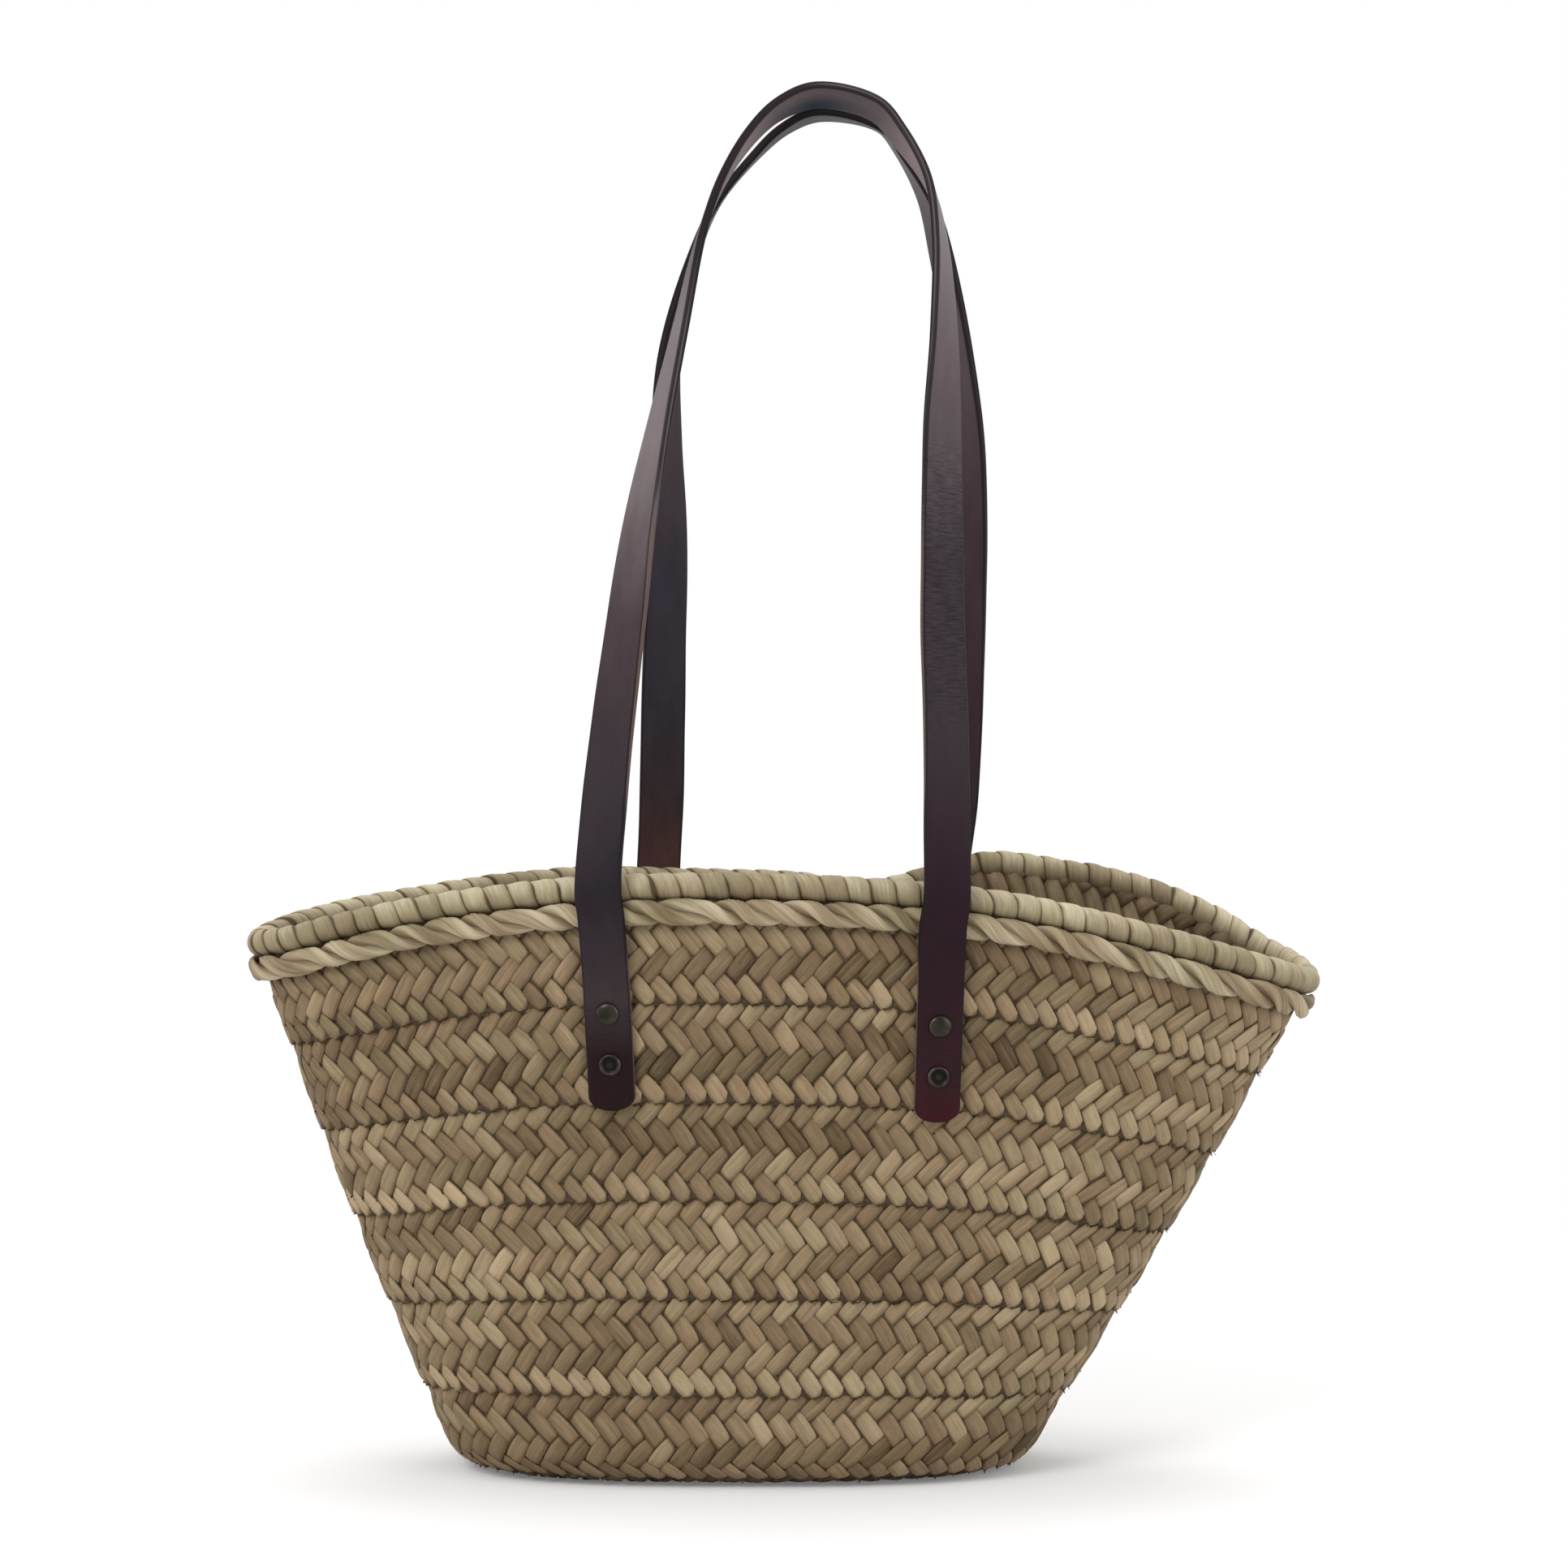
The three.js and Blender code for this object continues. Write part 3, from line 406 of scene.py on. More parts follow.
def weave(band, side):
    """Every piece of leaf that shows on one side of one turn of the plait."""
    outer = side > 0
    s_steps, t_steps = (S_FULL, T_FULL) if outer else (S_LESS, T_LESS)
    low, high = max(band, FIRST), min(band + 1, LAST)
    count = int(run[-1] / CELL)
    groups, uvs, leaves = [], [], []
    s, t = np.meshgrid(s_steps, t_steps, indexing="ij")
    for row in range(4):
        slash = (row % 2 == 1) == outer
        places = (np.arange(count) + (0 if slash else 0.5)) * CELL
        lengths = np.interp(places, run, stations)
        chosen = (lengths >= low) & (lengths < high)
        places = places[chosen]
        n = len(places)
        if not n:
            continue
        climb = climb_at(lengths[chosen])
        share = START_SHARE + TURN_SHARE * (climb - 1) + (row + 0.5) / 4 * TURN_SHARE
        inside = (share > START_SHARE - 0.5 * TURN_SHARE / 4) & (share < TOP_SHARE + 0.4 * TURN_SHARE / 4)
        places = places[inside]
        n = len(places)
        if not n:
            continue
        r = random.normal(0, 1, (n, 8))
        one = (n, 1, 1)
        way = 1 if slash else -1
        ss, tt = np.broadcast_to(s, (n, *s.shape)), np.broadcast_to(t, (n, *t.shape))
        curl_low = np.full(one, row == 0)
        curl_high = np.full(one, row == 3)
        # A fold along the leaf, at a place of its own, lets one part of it lie a little lower
        fold_place = np.clip(0.15 * r[:, 4], -0.35, 0.45).reshape(one)
        tt = tt + fold_place * (1 - tt**2)
        fold = smooth((tt - fold_place - 0.14) / 0.1) * np.clip(0.16 + 0.16 * r[:, 3], 0, 0.42).reshape(one)
        rise, curl = float_shape(ss, tt, curl_low, curl_high)
        rise = rise - fold * (1 - 0.5 * ss**2) + (0.14 * r[:, 1]).reshape(one) * ss * tt
        # A leaf's raised edge is rounder than the edge that the next leaf covers
        width = (1.05 + 0.03 * r[:, 0]).reshape(one) * (
            1 - np.where(tt > 0, 0.21, 0.08) * np.abs(ss) ** 4 - 0.36 * curl**3)
        length = (1.0 + 0.02 * r[:, 1]).reshape(one) * (1 - 0.16 * curl)
        turn = (0.035 * r[:, 2]).reshape(one)
        a_s, a_t = ss * length, tt * width
        x = way * (0.5 * a_s - 0.25 * a_t) + turn * a_s
        y = 0.5 * a_s + 0.25 * a_t - way * turn * 0.3 * a_t
        x = x + (0.03 * r[:, 3]).reshape(one)
        y = y + row + 0.5 + (0.025 * r[:, 4]).reshape(one)
        if row == 0:
            y = np.where(y < 0.1, 0.1 + (y - 0.1) * 0.6, y)
        if row == 3:
            y = np.where(y > 3.9, 3.9 + (y - 3.9) * 0.6, y)
        # Every leaf is tilted, so that its raised edge lies over the next one
        rise = rise + np.clip(0.12 * r[:, 5], -0.3, 0.12).reshape(one) + (0.36 + 0.12 * r[:, 6]).reshape(one) * tt
        reach = np.interp(places[:, None, None] + x * CELL, run, stations)
        groups.append(strip_point(reach, y, side, rise).reshape(n, -1, 3))
        uvs.append(leaf_uv(ss, tt))
        # Neighbours in a row are often leaves of one bundle, so their tones drift together
        drift = 0.5 + 0.23 * np.sin(places / 61 + row * 1.9 + band * 2.3) * np.sin(places / 173 + row * 4.1 + band)
        tone = drift + 0.1 * r[:, 7] + (0.1 if row == 0 else 0) - (0 if outer else 0.1)
        hue = 0.5 + 0.26 * np.sin(places / 97 + row * 2.7 + band * 1.3) + 0.14 * random.normal(0, 1, n)
        spot = wall_middle(CLIMB_START + lengths[chosen][inside] * TAU, share[inside])
        # Darker, greener leaf, and painted light and painted shade, in patches on the front
        for x_mid, z_mid, half_x, half_z, darker, greener in TONE_AND_LIGHT_PATCHES:
            apart = ((spot[:, 0] - x_mid) / half_x) ** 2 + ((spot[:, 2] - z_mid) / half_z) ** 2
            within = np.exp(-apart) * (spot[:, 1] < 0)
            tone, hue = tone - darker * within, hue + greener * within
        tone, hue = np.clip(tone, 0, 1), np.clip(hue, 0, 1)
        # Painted shade: each leaf is darker along its edges, most of all along the edge that lies under the next
        # leaf, at its ends where it goes under, and on its curled ends.
        near = np.maximum(smooth((-tt - 0.84) / 0.16), 0.75 * smooth((tt - 0.93) / 0.07))
        if not outer:
            near = smooth((np.abs(tt) - 0.66) / 0.34)
        near = np.maximum(near, smooth((np.abs(ss) - 0.8) / 0.3))
        near = np.clip(near + 0.5 * curl**2, 0, 1)
        # Painted light on the leaf's own tone: lighter towards its raised edge, with painted shade on the lower part
        # of its fold and towards its ends.
        shade = tone.reshape(one) + 0.13 * tt - 0.35 * fold - 0.06 * ss**2
        leaves.append(leaf_data(shade, hue.reshape(one), near, random.random(n).reshape(one)).reshape(n, -1, 4))
    points = np.concatenate(groups)
    quads = patch_quads(len(points), len(s_steps), len(t_steps))
    face_along(quads, points, lambda centre: centre * np.array([0.4, 3, 0]) * side)
    name = f"weave_{'outer' if outer else 'inner'}_{band}"
    return piece(name, points, quads, palm, "basket", np.concatenate(uvs), np.concatenate(leaves))


def strip_core():
    """The closed band of leaf that the visible pieces of leaf are plaited over."""
    lengths = np.linspace(FIRST, LAST, int((LAST - FIRST) * 72))
    rows = np.array([0.12, 0.8, 1.6, 2.4, 3.2, 3.88])
    outside = strip_point(lengths[:, None], rows[None], 1, -1.15)
    inside = strip_point(lengths[:, None], rows[None, ::-1], -1, -1.15)
    rings = np.concatenate([outside, inside], 1)
    quads = patch_quads(1, len(lengths), rings.shape[1], wrap=True, flip=True)
    n = rings.shape[1]
    caps = []
    for first, turn in ((0, 1), ((len(lengths) - 1) * n, -1)):
        for i in range(n // 2 - 1):
            caps.append([first + i, first + i + 1, first + n - 2 - i, first + n - 1 - i][::turn])
    return piece("weave_core", rings, np.concatenate([quads, np.array(caps)]), core_shade_material, "basket")


def seam_filler():
    """Leaf laced between each turn's top edge and the next turn's bottom edge, which closes the seam."""
    lengths = np.linspace(FIRST, LAST - 1, int((LAST - 1 - FIRST) * 96))[:, None]
    low_out, low_in = (strip_point(lengths, 3.7, side, -0.95) for side in (1, -1))
    high_out, high_in = (strip_point(lengths + 1, 0.3, side, -0.95) for side in (1, -1))
    rings = np.concatenate([low_out, low_in, high_in, high_out], 1)
    last = (len(lengths) - 1) * 4
    caps = np.array([[0, 1, 2, 3], [last + 3, last + 2, last + 1, last]])
    quads = np.concatenate([patch_quads(1, len(lengths), 4, wrap=True), caps])
    return piece("weave_seam", rings, quads, core_shade_material, "basket")


wall_pieces = [seam_filler()]
for band in range(TURNS + 1):
    wall_pieces.append(weave(band, 1))
    wall_pieces.append(weave(band, -1))
core = strip_core()
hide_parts("plaited_wall")

# ---------------------------------------------------------------- base
SPINE = 66


def base_point(angle, part, side, rise):
    """A place on the flat base: part 0 is its middle line and 1 its edge."""
    foot = oval(angle, *FOOT, FOOT_ROUNDNESS)
    c = np.cos(angle)
    spine = np.stack([SPINE * np.sign(c) * np.abs(c) ** 0.77, np.zeros_like(c)], -1)
    plan = spine + (foot - spine) * part[..., None]
    height = BASE_HALF + side * (BASE_HALF - 0.05 + rise)
    return np.concatenate([plan, height[..., None]], -1)


def turned_edge_point(angle, part, side, rise):
    """A place on the base's edge where it turns up inside the first turn of the wall."""
    tuck = np.clip(part, 0, 1)
    offset = -2.4 * tuck + side * (BASE_HALF + (0.95 - BASE_HALF) * tuck + rise)
    return wall_point(angle, np.clip(0.062 * part, 0, 0.09), offset)


def base_weave(side):
    s, t = np.meshgrid(S_LESS, T_LESS, indexing="ij")
    groups, uvs, leaves = [], [], []
    for row in range(5):
        edge_row = row == 4
        part_mid = (row + 0.5) / 4
        angles = np.linspace(0, TAU, 2000)
        mid = base_point(angles, np.full(2000, min(part_mid, 1.0)), side, np.zeros(2000))
        length = np.concatenate([[0], np.cumsum(np.linalg.norm(np.diff(mid, axis=0), axis=1))])
        n = int(round(length[-1] / (CELL * 1.05)))
        places = (np.arange(n) + (0 if row % 2 else 0.5)) / n * length[-1]
        r = random.normal(0, 1, (n, 4))
        one = (n, 1, 1)
        way = 1 if (row % 2 == 0) == (side > 0) else -1
        ss, tt = np.broadcast_to(s, (n, *s.shape)), np.broadcast_to(t, (n, *t.shape))
        rise, _ = float_shape(ss, tt, np.zeros(one, bool), np.zeros(one, bool))
        width = (0.96 + 0.03 * r[:, 0]).reshape(one) * (1 - 0.1 * np.abs(ss) ** 5)
        x = way * (0.5 * ss - 0.25 * tt * width) + (0.03 * r[:, 1]).reshape(one)
        y = 0.5 * ss + 0.25 * tt * width
        rise = np.minimum(rise + (0.1 * r[:, 2]).reshape(one), 0)
        turn = places[:, None, None] + x * CELL * 1.05
        angle = np.interp(turn % length[-1], length, angles)
        if edge_row:
            points = turned_edge_point(angle, 0.5 + y * 0.95, side, rise)
        else:
            part = (row + 0.5 + y) / 4
            points = base_point(angle, np.clip(part, 0.0, 1.04), side, rise - 1.2 * smooth((0.02 - part) / 0.05))
        groups.append(points.reshape(n, -1, 3))
        uvs.append(leaf_uv(ss, tt))
        tone = np.clip(0.42 + 0.16 * r[:, 3] - (0.2 if edge_row else 0), 0, 1)
        hue = np.clip(0.5 + 0.3 * random.normal(0, 1, n), 0, 1)
        # Painted shade along each leaf's edges and ends.
        near = np.maximum(smooth((np.abs(tt) - 0.7) / 0.3), smooth((np.abs(ss) - 0.72) / 0.3))
        own = random.random(n).reshape(one)
        leaves.append(leaf_data(tone.reshape(one), hue.reshape(one), near, own).reshape(n, -1, 4))
    points = np.concatenate(groups)
    quads = patch_quads(len(points), len(S_LESS), len(T_LESS))
    face_along(quads, points, lambda centre: np.array([0, 0, side]))
    return piece(f"base_weave_{'top' if side > 0 else 'under'}", points, quads, palm, "basket",
                 np.concatenate(uvs), np.concatenate(leaves))


def base_core():
    angles = np.linspace(0, TAU, 97)[:-1]
    rings = []
    for part in (0.02, 0.5, 1.0):
        rings.append(base_point(angles, np.full(96, part), -1, np.full(96, -1.2)))
    for part, side in ((0.5, 1), (1.0, 1), (1.0, -1), (0.5, -1)):
        offset = -2.4 * part + side * (BASE_HALF - 1.1) * (1 - 0.75 * part)
        rings.append(wall_point(angles, np.full(96, 0.06 * part), offset))
    for part in (1.0, 0.5, 0.02):
        rings.append(base_point(angles, np.full(96, part), 1, np.full(96, -1.2)))
    rings = np.array(rings)
    quads = patch_quads(1, len(rings), 96, wrap=True)
    return piece("base_core", rings, quads, core_shade_material, "basket")


base_pieces = [base_weave(1), base_weave(-1)]
base_body = base_core()
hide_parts("woven_base")

# ---------------------------------------------------------------- rim binding
WRAPS = 103


def rim_wraps():
    """One leaf wound on round the core: each turn lies on the start of the next, and ends a wrap back."""
    us = np.array([0.0, 0.05, 0.14, 0.3, 0.5, 0.7, 0.88, 0.97, 1.04, 1.1, 1.14])
    sides = 24
    phi = np.arange(sides + 1) / sides * TAU - TAU / 4
    index = np.arange(WRAPS)
    r = random.normal(0, 1, (WRAPS, 7))
    u = us[None, :, None]
    turned = ((phi + TAU / 4) / TAU)[None, None]
    bow = (0.16 + 0.05 * r[:, 1])[:, None, None] * np.cos(phi)[None, None]
    edge = (0.05 * np.sin(phi * 2 + 7 * r[:, 5][:, None]))[:, None, :]
    fade = np.sin(math.pi * turned)
    place = (index[:, None, None] + u + fade * (bow + edge + 0.06 * r[:, 2][:, None, None]) - turned) / WRAPS
    angle = mouth_angle(place)
    fold = 0.16 * np.exp(-((u - 0.42 - 0.12 * r[:, 6][:, None, None] - 0.1 * np.sin(phi)[None, None]) / 0.09) ** 2)
    swell = 0.5 * np.sin(math.pi * np.clip(u, 0, 1.1) / 1.14) + 0.5 * smooth(u / 0.9) - 0.36
    swell = swell - 1.3 * smooth((u - 1.0) / 0.14) - 0.8 * smooth((0.05 - u) / 0.05) - fold
    uneven = 0.06 * np.sin(phi * 3 + 9 * r[:, 4][:, None])[:, None, :]
    swell = swell + fade * ((0.07 * r[:, 3])[:, None, None] + uneven)
    up = (BINDING[0] + swell - 0.1) * np.sin(phi)[None, None]
    out = (BINDING[1] + swell - 0.1) * np.cos(phi)[None, None]
    points = wall_point(angle, np.ones_like(angle), out, up)
    seed = random.random((WRAPS, 2))[:, None, None] * 400
    uv = np.stack(np.broadcast_arrays(u * 10 + seed[..., 0], phi[None, None] * 5.4 + seed[..., 1]), -1)
    tone = 0.45 + 0.12 * np.sin(index / 5.3) * np.sin(index / 2.1) + 0.08 * r[:, 0]
    # Painted light: each wrap is lighter on top and darker below, and a little lighter across its swell.
    tone = tone[:, None, None] + 0.26 * np.sin(phi)[None, None]
    tone = np.clip(tone + 0.06 * np.sin(math.pi * np.clip(u, 0, 1)) - 0.04, 0, 1)
    hue = np.clip(0.5 + 0.12 * random.normal(0, 1, WRAPS), 0, 1)
    # Painted shade in the groove at each wrap's ends.
    near = np.maximum(smooth((u - 0.95) / 0.07), smooth((0.1 - u) / 0.1))
    leaf = leaf_data(tone, hue[:, None, None], near, random.random(WRAPS)[:, None, None])
    quads = patch_quads(WRAPS, len(us), sides + 1)
    return piece("rim_wraps", points, quads, palm_pale, "basket", uv, leaf)


def ring_tube(name, half_height, half_thickness, lift, count=240, sides=14):
    angle = np.arange(count + 1)[:, None] / count * TAU
    phi = np.arange(sides)[None] / sides * TAU
    points = wall_point(angle, 1.0, half_thickness * np.cos(phi), lift + half_height * np.sin(phi))[:-1]
    quads = patch_quads(1, count + 1, sides, wrap=True) % (count * sides)
    return piece(name, points, quads, core_shade_material, "basket")


wraps = rim_wraps()
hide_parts("rim_binding")
# The core inside the wraps, and the wall's edge sewn up between them and the rope
ring_tube("rim_core", half_height=4.9, half_thickness=4.5, lift=0)
ring_tube("rim_neck", half_height=3.6, half_thickness=1.6, lift=-6.4)

# ---------------------------------------------------------------- rope
LEADS = 30


def rope_strand(index):
    steps, sides = LEADS * 18, 26
    place = np.arange(steps + 1) / steps
    angle = mouth_angle(place)[:, None]
    wander = 0.5 * np.sin(place * TAU * 7 + 1.3) + 0.35 * np.sin(place * TAU * 17)
    wander = wander + 0.3 * np.sin(place * TAU * 29 + 2)
    psi = (-place * LEADS * TAU + 0.9 * wander + index * math.pi)[:, None]
    phi = np.arange(sides)[None] / sides * TAU
    fat = 1 + (0.05 * np.sin(place * TAU * 23 + index) + 0.04 * np.sin(place * TAU * 41 + 2 * index))[:, None]
    # Each strand is a folded bundle of leaf, so it has ridges that wander along it
    ridge = np.abs(np.sin(1.5 * phi + 0.6 * np.sin(place * TAU * 13 + index)[:, None] + 0.4)) ** 0.7 - 0.6
    crease = -0.42 * np.exp(-((np.mod(phi + 0.5 * np.sin(place * TAU * 19)[:, None], TAU) - 0.35) / 0.16) ** 2)
    fat = fat * (1 + 0.09 * ridge) + crease * 0.4
    radial = 2.25 + 2.3 * fat * np.cos(phi) * (1 + 0.10 * np.cos(2 * phi))
    tangent = 3.4 * fat * np.sin(phi)
    x = radial * np.cos(psi) + tangent * np.sin(psi)
    y = radial * np.sin(psi) - tangent * np.cos(psi)
    points = wall_point(angle, 1.0, ROPE_OFFSET + 0.15 + x * 0.66, 0.5 - ROPE_DROP + 1.2 * y)[:-1]
    uv = np.stack(np.broadcast_arrays(phi * 3.4 + index * 91, place[:, None] * 1032), -1)[:-1]
    tone = np.clip(0.55 + 0.18 * np.sin(place * TAU * 11 + index * 2) + 0.12 * np.sin(place * TAU * 31), 0, 1)
    # Painted shade on each strand's inner side, where the two strands meet, and in its crease.
    near = np.clip(smooth((-np.cos(phi) - 0.1) / 0.7) - crease * 1.6, 0, 1) + 0 * tone[:, None]
    tone = tone[:, None] + 0.14 * np.sin(2 * phi + 3 * index)
    leaf = leaf_data(tone, 0.5 + 0.2 * np.sin(place * TAU * 9)[:, None], near, 0.5)[:-1]
    quads = patch_quads(1, steps + 1, sides, wrap=True) % (steps * sides)
    return piece(f"rope_strand_{index}", points, quads, rope_leaf, "basket", uv, leaf)


strands = [rope_strand(0), rope_strand(1)]
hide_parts("rim_rope")

# ---------------------------------------------------------------- straps
STRAP_WIDTH, STRAP_THICKNESS = 20, 3.6
BEND_TO_RIVET, RIVET_PITCH, TAB_LENGTH = 9, 21.8, 50.8
TIP_LENGTH, TIP_ROUNDNESS = 6.4, 2.0
# Each riveted end: its bend, its directions across, up and out, and how deep its inner caps are seated
ENDS = {
    "front_left": ((-56.74, -79.11, 217.42), (0.9919, -0.1194, 0.0427), (-0.047, -0.0341, 0.9983),
                   (-0.1178, -0.9923, -0.0394), (-7.184, -6.755)),
    "front_right": ((84.35, -78.39, 212.07), (0.9925, 0.121, -0.0194), (0.0278, -0.0683, 0.9973),
                    (0.1194, -0.9903, -0.0712), (-7.145, -6.568)),
    "back_left": ((-37.49, 80.86, 209.8), (-0.9978, -0.064, -0.0146), (-0.0174, 0.0438, 0.9989),
                  (-0.0633, 0.997, -0.0448), (-6.258, -6.949)),
    "back_right": ((89.65, 77.69, 212.66), (-0.9886, 0.1469, 0.0329), (0.0435, 0.0692, 0.9967),
                   (0.1441, 0.9867, -0.0748), (-6.917, -7.163)),
}
# Each loop's middle line from its left end to its right, and the way that its outer face looks there
LOOPS = {
    "front": [
        (-56.75, -79.12, 217.57, -0.1178, -0.9923, -0.0394), (-58.98, -85.49, 249.95, -0.1178, -0.9923, -0.0394),
        (-60.18, -85.61, 260.59, -0.1178, -0.9923, -0.0394), (-57.87, -80.84, 294.5, -0.3393, -0.9234, 0.1792),
        (-53.99, -73.96, 331.8, -0.4597, -0.8604, 0.22), (-48.9, -65.64, 372.5, -0.5487, -0.8004, 0.2415),
        (-43.54, -56.57, 413.19, -0.7326, -0.6289, 0.2605), (-35.58, -46.66, 455.58, -0.871, -0.4076, 0.2742),
        (-26.33, -36.3, 497.97, -0.9397, -0.2209, 0.261), (-17.36, -26.01, 538.66, -0.9552, -0.0503, 0.2915),
        (-8.67, -19.88, 562.4, -0.8986, 0.0229, 0.4382), (4.28, -14.51, 582.74, -0.778, 0.17, 0.6049),
        (16.39, -11.49, 593.94, -0.5306, 0.2912, 0.796), (32.3, -9.97, 599.7, -0.0612, 0.4226, 0.9043),
        (57.66, -11.51, 593.87, 0.515, 0.3502, 0.7823), (67.74, -14.58, 582.55, 0.8033, 0.2948, 0.5176),
        (80.34, -20.02, 561.98, 0.9313, 0.0153, 0.3638), (85.25, -26.23, 537.97, 0.9651, -0.201, 0.1677),
        (86.83, -36.66, 496.82, 0.8583, -0.4965, 0.1298), (85.79, -47.17, 453.96, 0.6194, -0.7656, 0.1741),
        (85.52, -57.22, 411.09, 0.4688, -0.8615, 0.1952), (85.41, -66.42, 369.94, 0.4232, -0.8847, 0.1953),
        (86.61, -74.86, 328.79, 0.365, -0.9126, 0.1843), (86.83, -81.84, 291.07, 0.1931, -0.9683, 0.1584),
        (86.83, -86.67, 256.77, 0.1194, -0.9903, -0.0712), (85.32, -86.19, 246.19, 0.1194, -0.9903, -0.0712),
        (84.35, -78.4, 212.22, 0.1194, -0.9903, -0.0712),
    ],
    "back": [
        (-37.49, 80.86, 209.95, -0.0633, 0.997, -0.0448), (-39.61, 87.47, 241.05, -0.0633, 0.997, -0.0448),
        (-39.35, 87.81, 251.74, -0.0633, 0.997, -0.0448), (-37.68, 82.92, 285.85, -0.0598, 0.9844, 0.1653),
        (-36.73, 75.87, 323.37, -0.1421, 0.9703, 0.196), (-35.64, 67.34, 364.29, -0.3013, 0.9298, 0.2116),
        (-34.26, 58.04, 405.22, -0.5195, 0.8304, 0.2012), (-34.4, 47.88, 447.85, -0.7938, 0.587, 0.1591),
        (-32.51, 37.26, 490.48, -0.9127, 0.3429, 0.2224), (-22.03, 26.72, 531.41, -0.9375, 0.0534, 0.3438),
        (-11.19, 20.44, 555.28, -0.8489, -0.023, 0.5281), (5.9, 14.93, 575.75, -0.7127, 0.0154, 0.7013),
        (18.78, 11.83, 587, -0.5106, 0.0699, 0.857), (33.4, 10.28, 592.8, -0.0804, 0.1045, 0.9913),
        (60.31, 11.8, 587.08, 0.5177, -0.0467, 0.8543), (69.58, 14.82, 575.98, 0.8223, 0, 0.5691),
        (81.01, 20.2, 555.8, 0.8887, 0.1851, 0.4194), (87.65, 26.32, 532.25, 0.8782, 0.3712, 0.3015),
        (95.24, 36.62, 491.89, 0.8334, 0.4941, 0.2477), (99.85, 46.98, 449.84, 0.709, 0.6744, 0.2063),
        (100.45, 56.89, 407.8, 0.5278, 0.8285, 0.1871), (99.31, 65.97, 367.43, 0.3321, 0.9239, 0.1903),
        (98.29, 74.3, 327.07, 0.15, 0.9711, 0.1857), (96.86, 81.18, 290.07, 0.0401, 0.9865, 0.1588),
        (93.21, 85.95, 256.43, 0.1441, 0.9867, -0.0748), (94.38, 85.12, 245.82, 0.1441, 0.9867, -0.0748),
        (89.66, 77.7, 212.81, 0.1441, 0.9867, -0.0748),
    ],
}


def through(points, share):
    """A smooth curve through points, spaced as the solid's own curve is."""
    points = np.asarray(points, float)
    last = len(points) - 1
    place = np.clip(share * last, 0, last)
    first = np.minimum(np.floor(place).astype(int), last - 1)
    t = (place - first)[:, None]
    padded = np.concatenate([[2 * points[0] - points[1]], points, [2 * points[-1] - points[-2]]])
    p0, p1, p2, p3 = (padded[first + i] for i in range(4))
    d0, d1, d2 = (np.sum((b - a) ** 2, 1, keepdims=True) ** 0.25 for a, b in ((p0, p1), (p1, p2), (p2, p3)))
    m1 = ((p1 - p0) / d0 - (p2 - p0) / (d0 + d1) + (p2 - p1) / d1) * d1
    m2 = ((p2 - p1) / d1 - (p3 - p1) / (d1 + d2) + (p3 - p2) / d2) * d1
    return p1 + m1 * t + (-3 * p1 + 3 * p2 - 2 * m1 - m2) * t**2 + (2 * p1 - 2 * p2 + m1 + m2) * t**3


def seen(r, g, b):
    """The base colour under which leather is seen in a colour, once its gloss is added."""
    return tuple(max(v - 0.016, 0.002) / 1.13 for v in srgb(r, g, b))


def dye_and_sheen(stops, height):
    """Leather colour at heights, from a few stops of height and the colour seen there, painted sheen and shade
    included.
    """
    heights = [stop[0] for stop in stops]
    tones = np.array([seen(*stop[1]) for stop in stops])
    return np.stack([np.interp(height, heights, tones[:, k]) for k in range(3)], -1)


# Colour seen on each strap by height, on its face and underside, left and right. The dark dye and the red-brown low
# down are the leather's own; the light grey stops high on the front legs are painted sheen, and the dark blue-grey at
# the top of the back strap's underside is painted shade.
LEATHER_TONES = {
    "front": {
        "left": [(165, (47, 34, 37)), (190, (45, 35, 38)), (215, (65, 57, 59)), (260, (49, 45, 50)),
                 (330, (62, 54, 58)), (375, (74, 64, 67)), (450, (122, 112, 114)), (500, (114, 104, 107)),
                 (535, (66, 54, 60))],
        "right": [(162, (64, 37, 40)), (180, (57, 41, 44)), (205, (53, 40, 44)), (260, (50, 40, 45)),
                  (330, (62, 55, 59)), (400, (61, 55, 59)), (475, (98, 88, 92)), (535, (120, 110, 113))],
        "under_left": [(555, (76, 62, 67)), (575, (124, 107, 107)), (592, (92, 81, 83))],
        "under_right": [(550, (72, 60, 64)), (572, (130, 111, 110)), (592, (92, 81, 84))],
    },
    "back": {
        "left": [(200, (56, 44, 46)), (540, (66, 56, 60))],
        "right": [(200, (56, 44, 46)), (480, (72, 60, 64)), (575, (72, 68, 74))],
        "under_left": [(262, (86, 65, 63)), (290, (71, 61, 63)), (330, (63, 60, 65)), (400, (66, 61, 68)),
                       (445, (75, 66, 70)), (540, (68, 60, 64)), (590, (50, 52, 58))],
        "under_right": [(330, (72, 60, 64)), (410, (70, 58, 62)), (450, (79, 66, 71)), (530, (90, 80, 84)),
                        (575, (84, 74, 78)), (590, (50, 52, 58))],
    },
}


def strap_section():
    """Half width and half thickness shares round a strap, with rounded edges."""
    w, h, r = STRAP_WIDTH / 2, STRAP_THICKNESS / 2, 1.15
    ring = []
    for sx, sy, start in ((1, 1, 0), (-1, 1, 90), (-1, -1, 180), (1, -1, 270)):
        if sx * sy > 0:
            ring += [(sx * w, sy * y) for y in (0.0, 0.22, 0.42)]
        for k in range(5):
            a = math.radians(start + k * 22.5)
            ring.append((sx * (w - r) + r * math.cos(a), sy * (h - r) + r * math.sin(a)))
        if sy == 1 and sx == 1:
            ring += [(x * w, h) for x in (0.7, 0.5, 0.25, 0, -0.25, -0.5, -0.7)]
        if sy == -1 and sx == -1:
            ring += [(x * w, -h) for x in (-0.7, -0.5, -0.25, 0, 0.25, 0.5, 0.7)]
        if sx * sy < 0:
            ring += [(sx * w, sy * y) for y in (0.42, 0.22)]
    return np.array(ring)


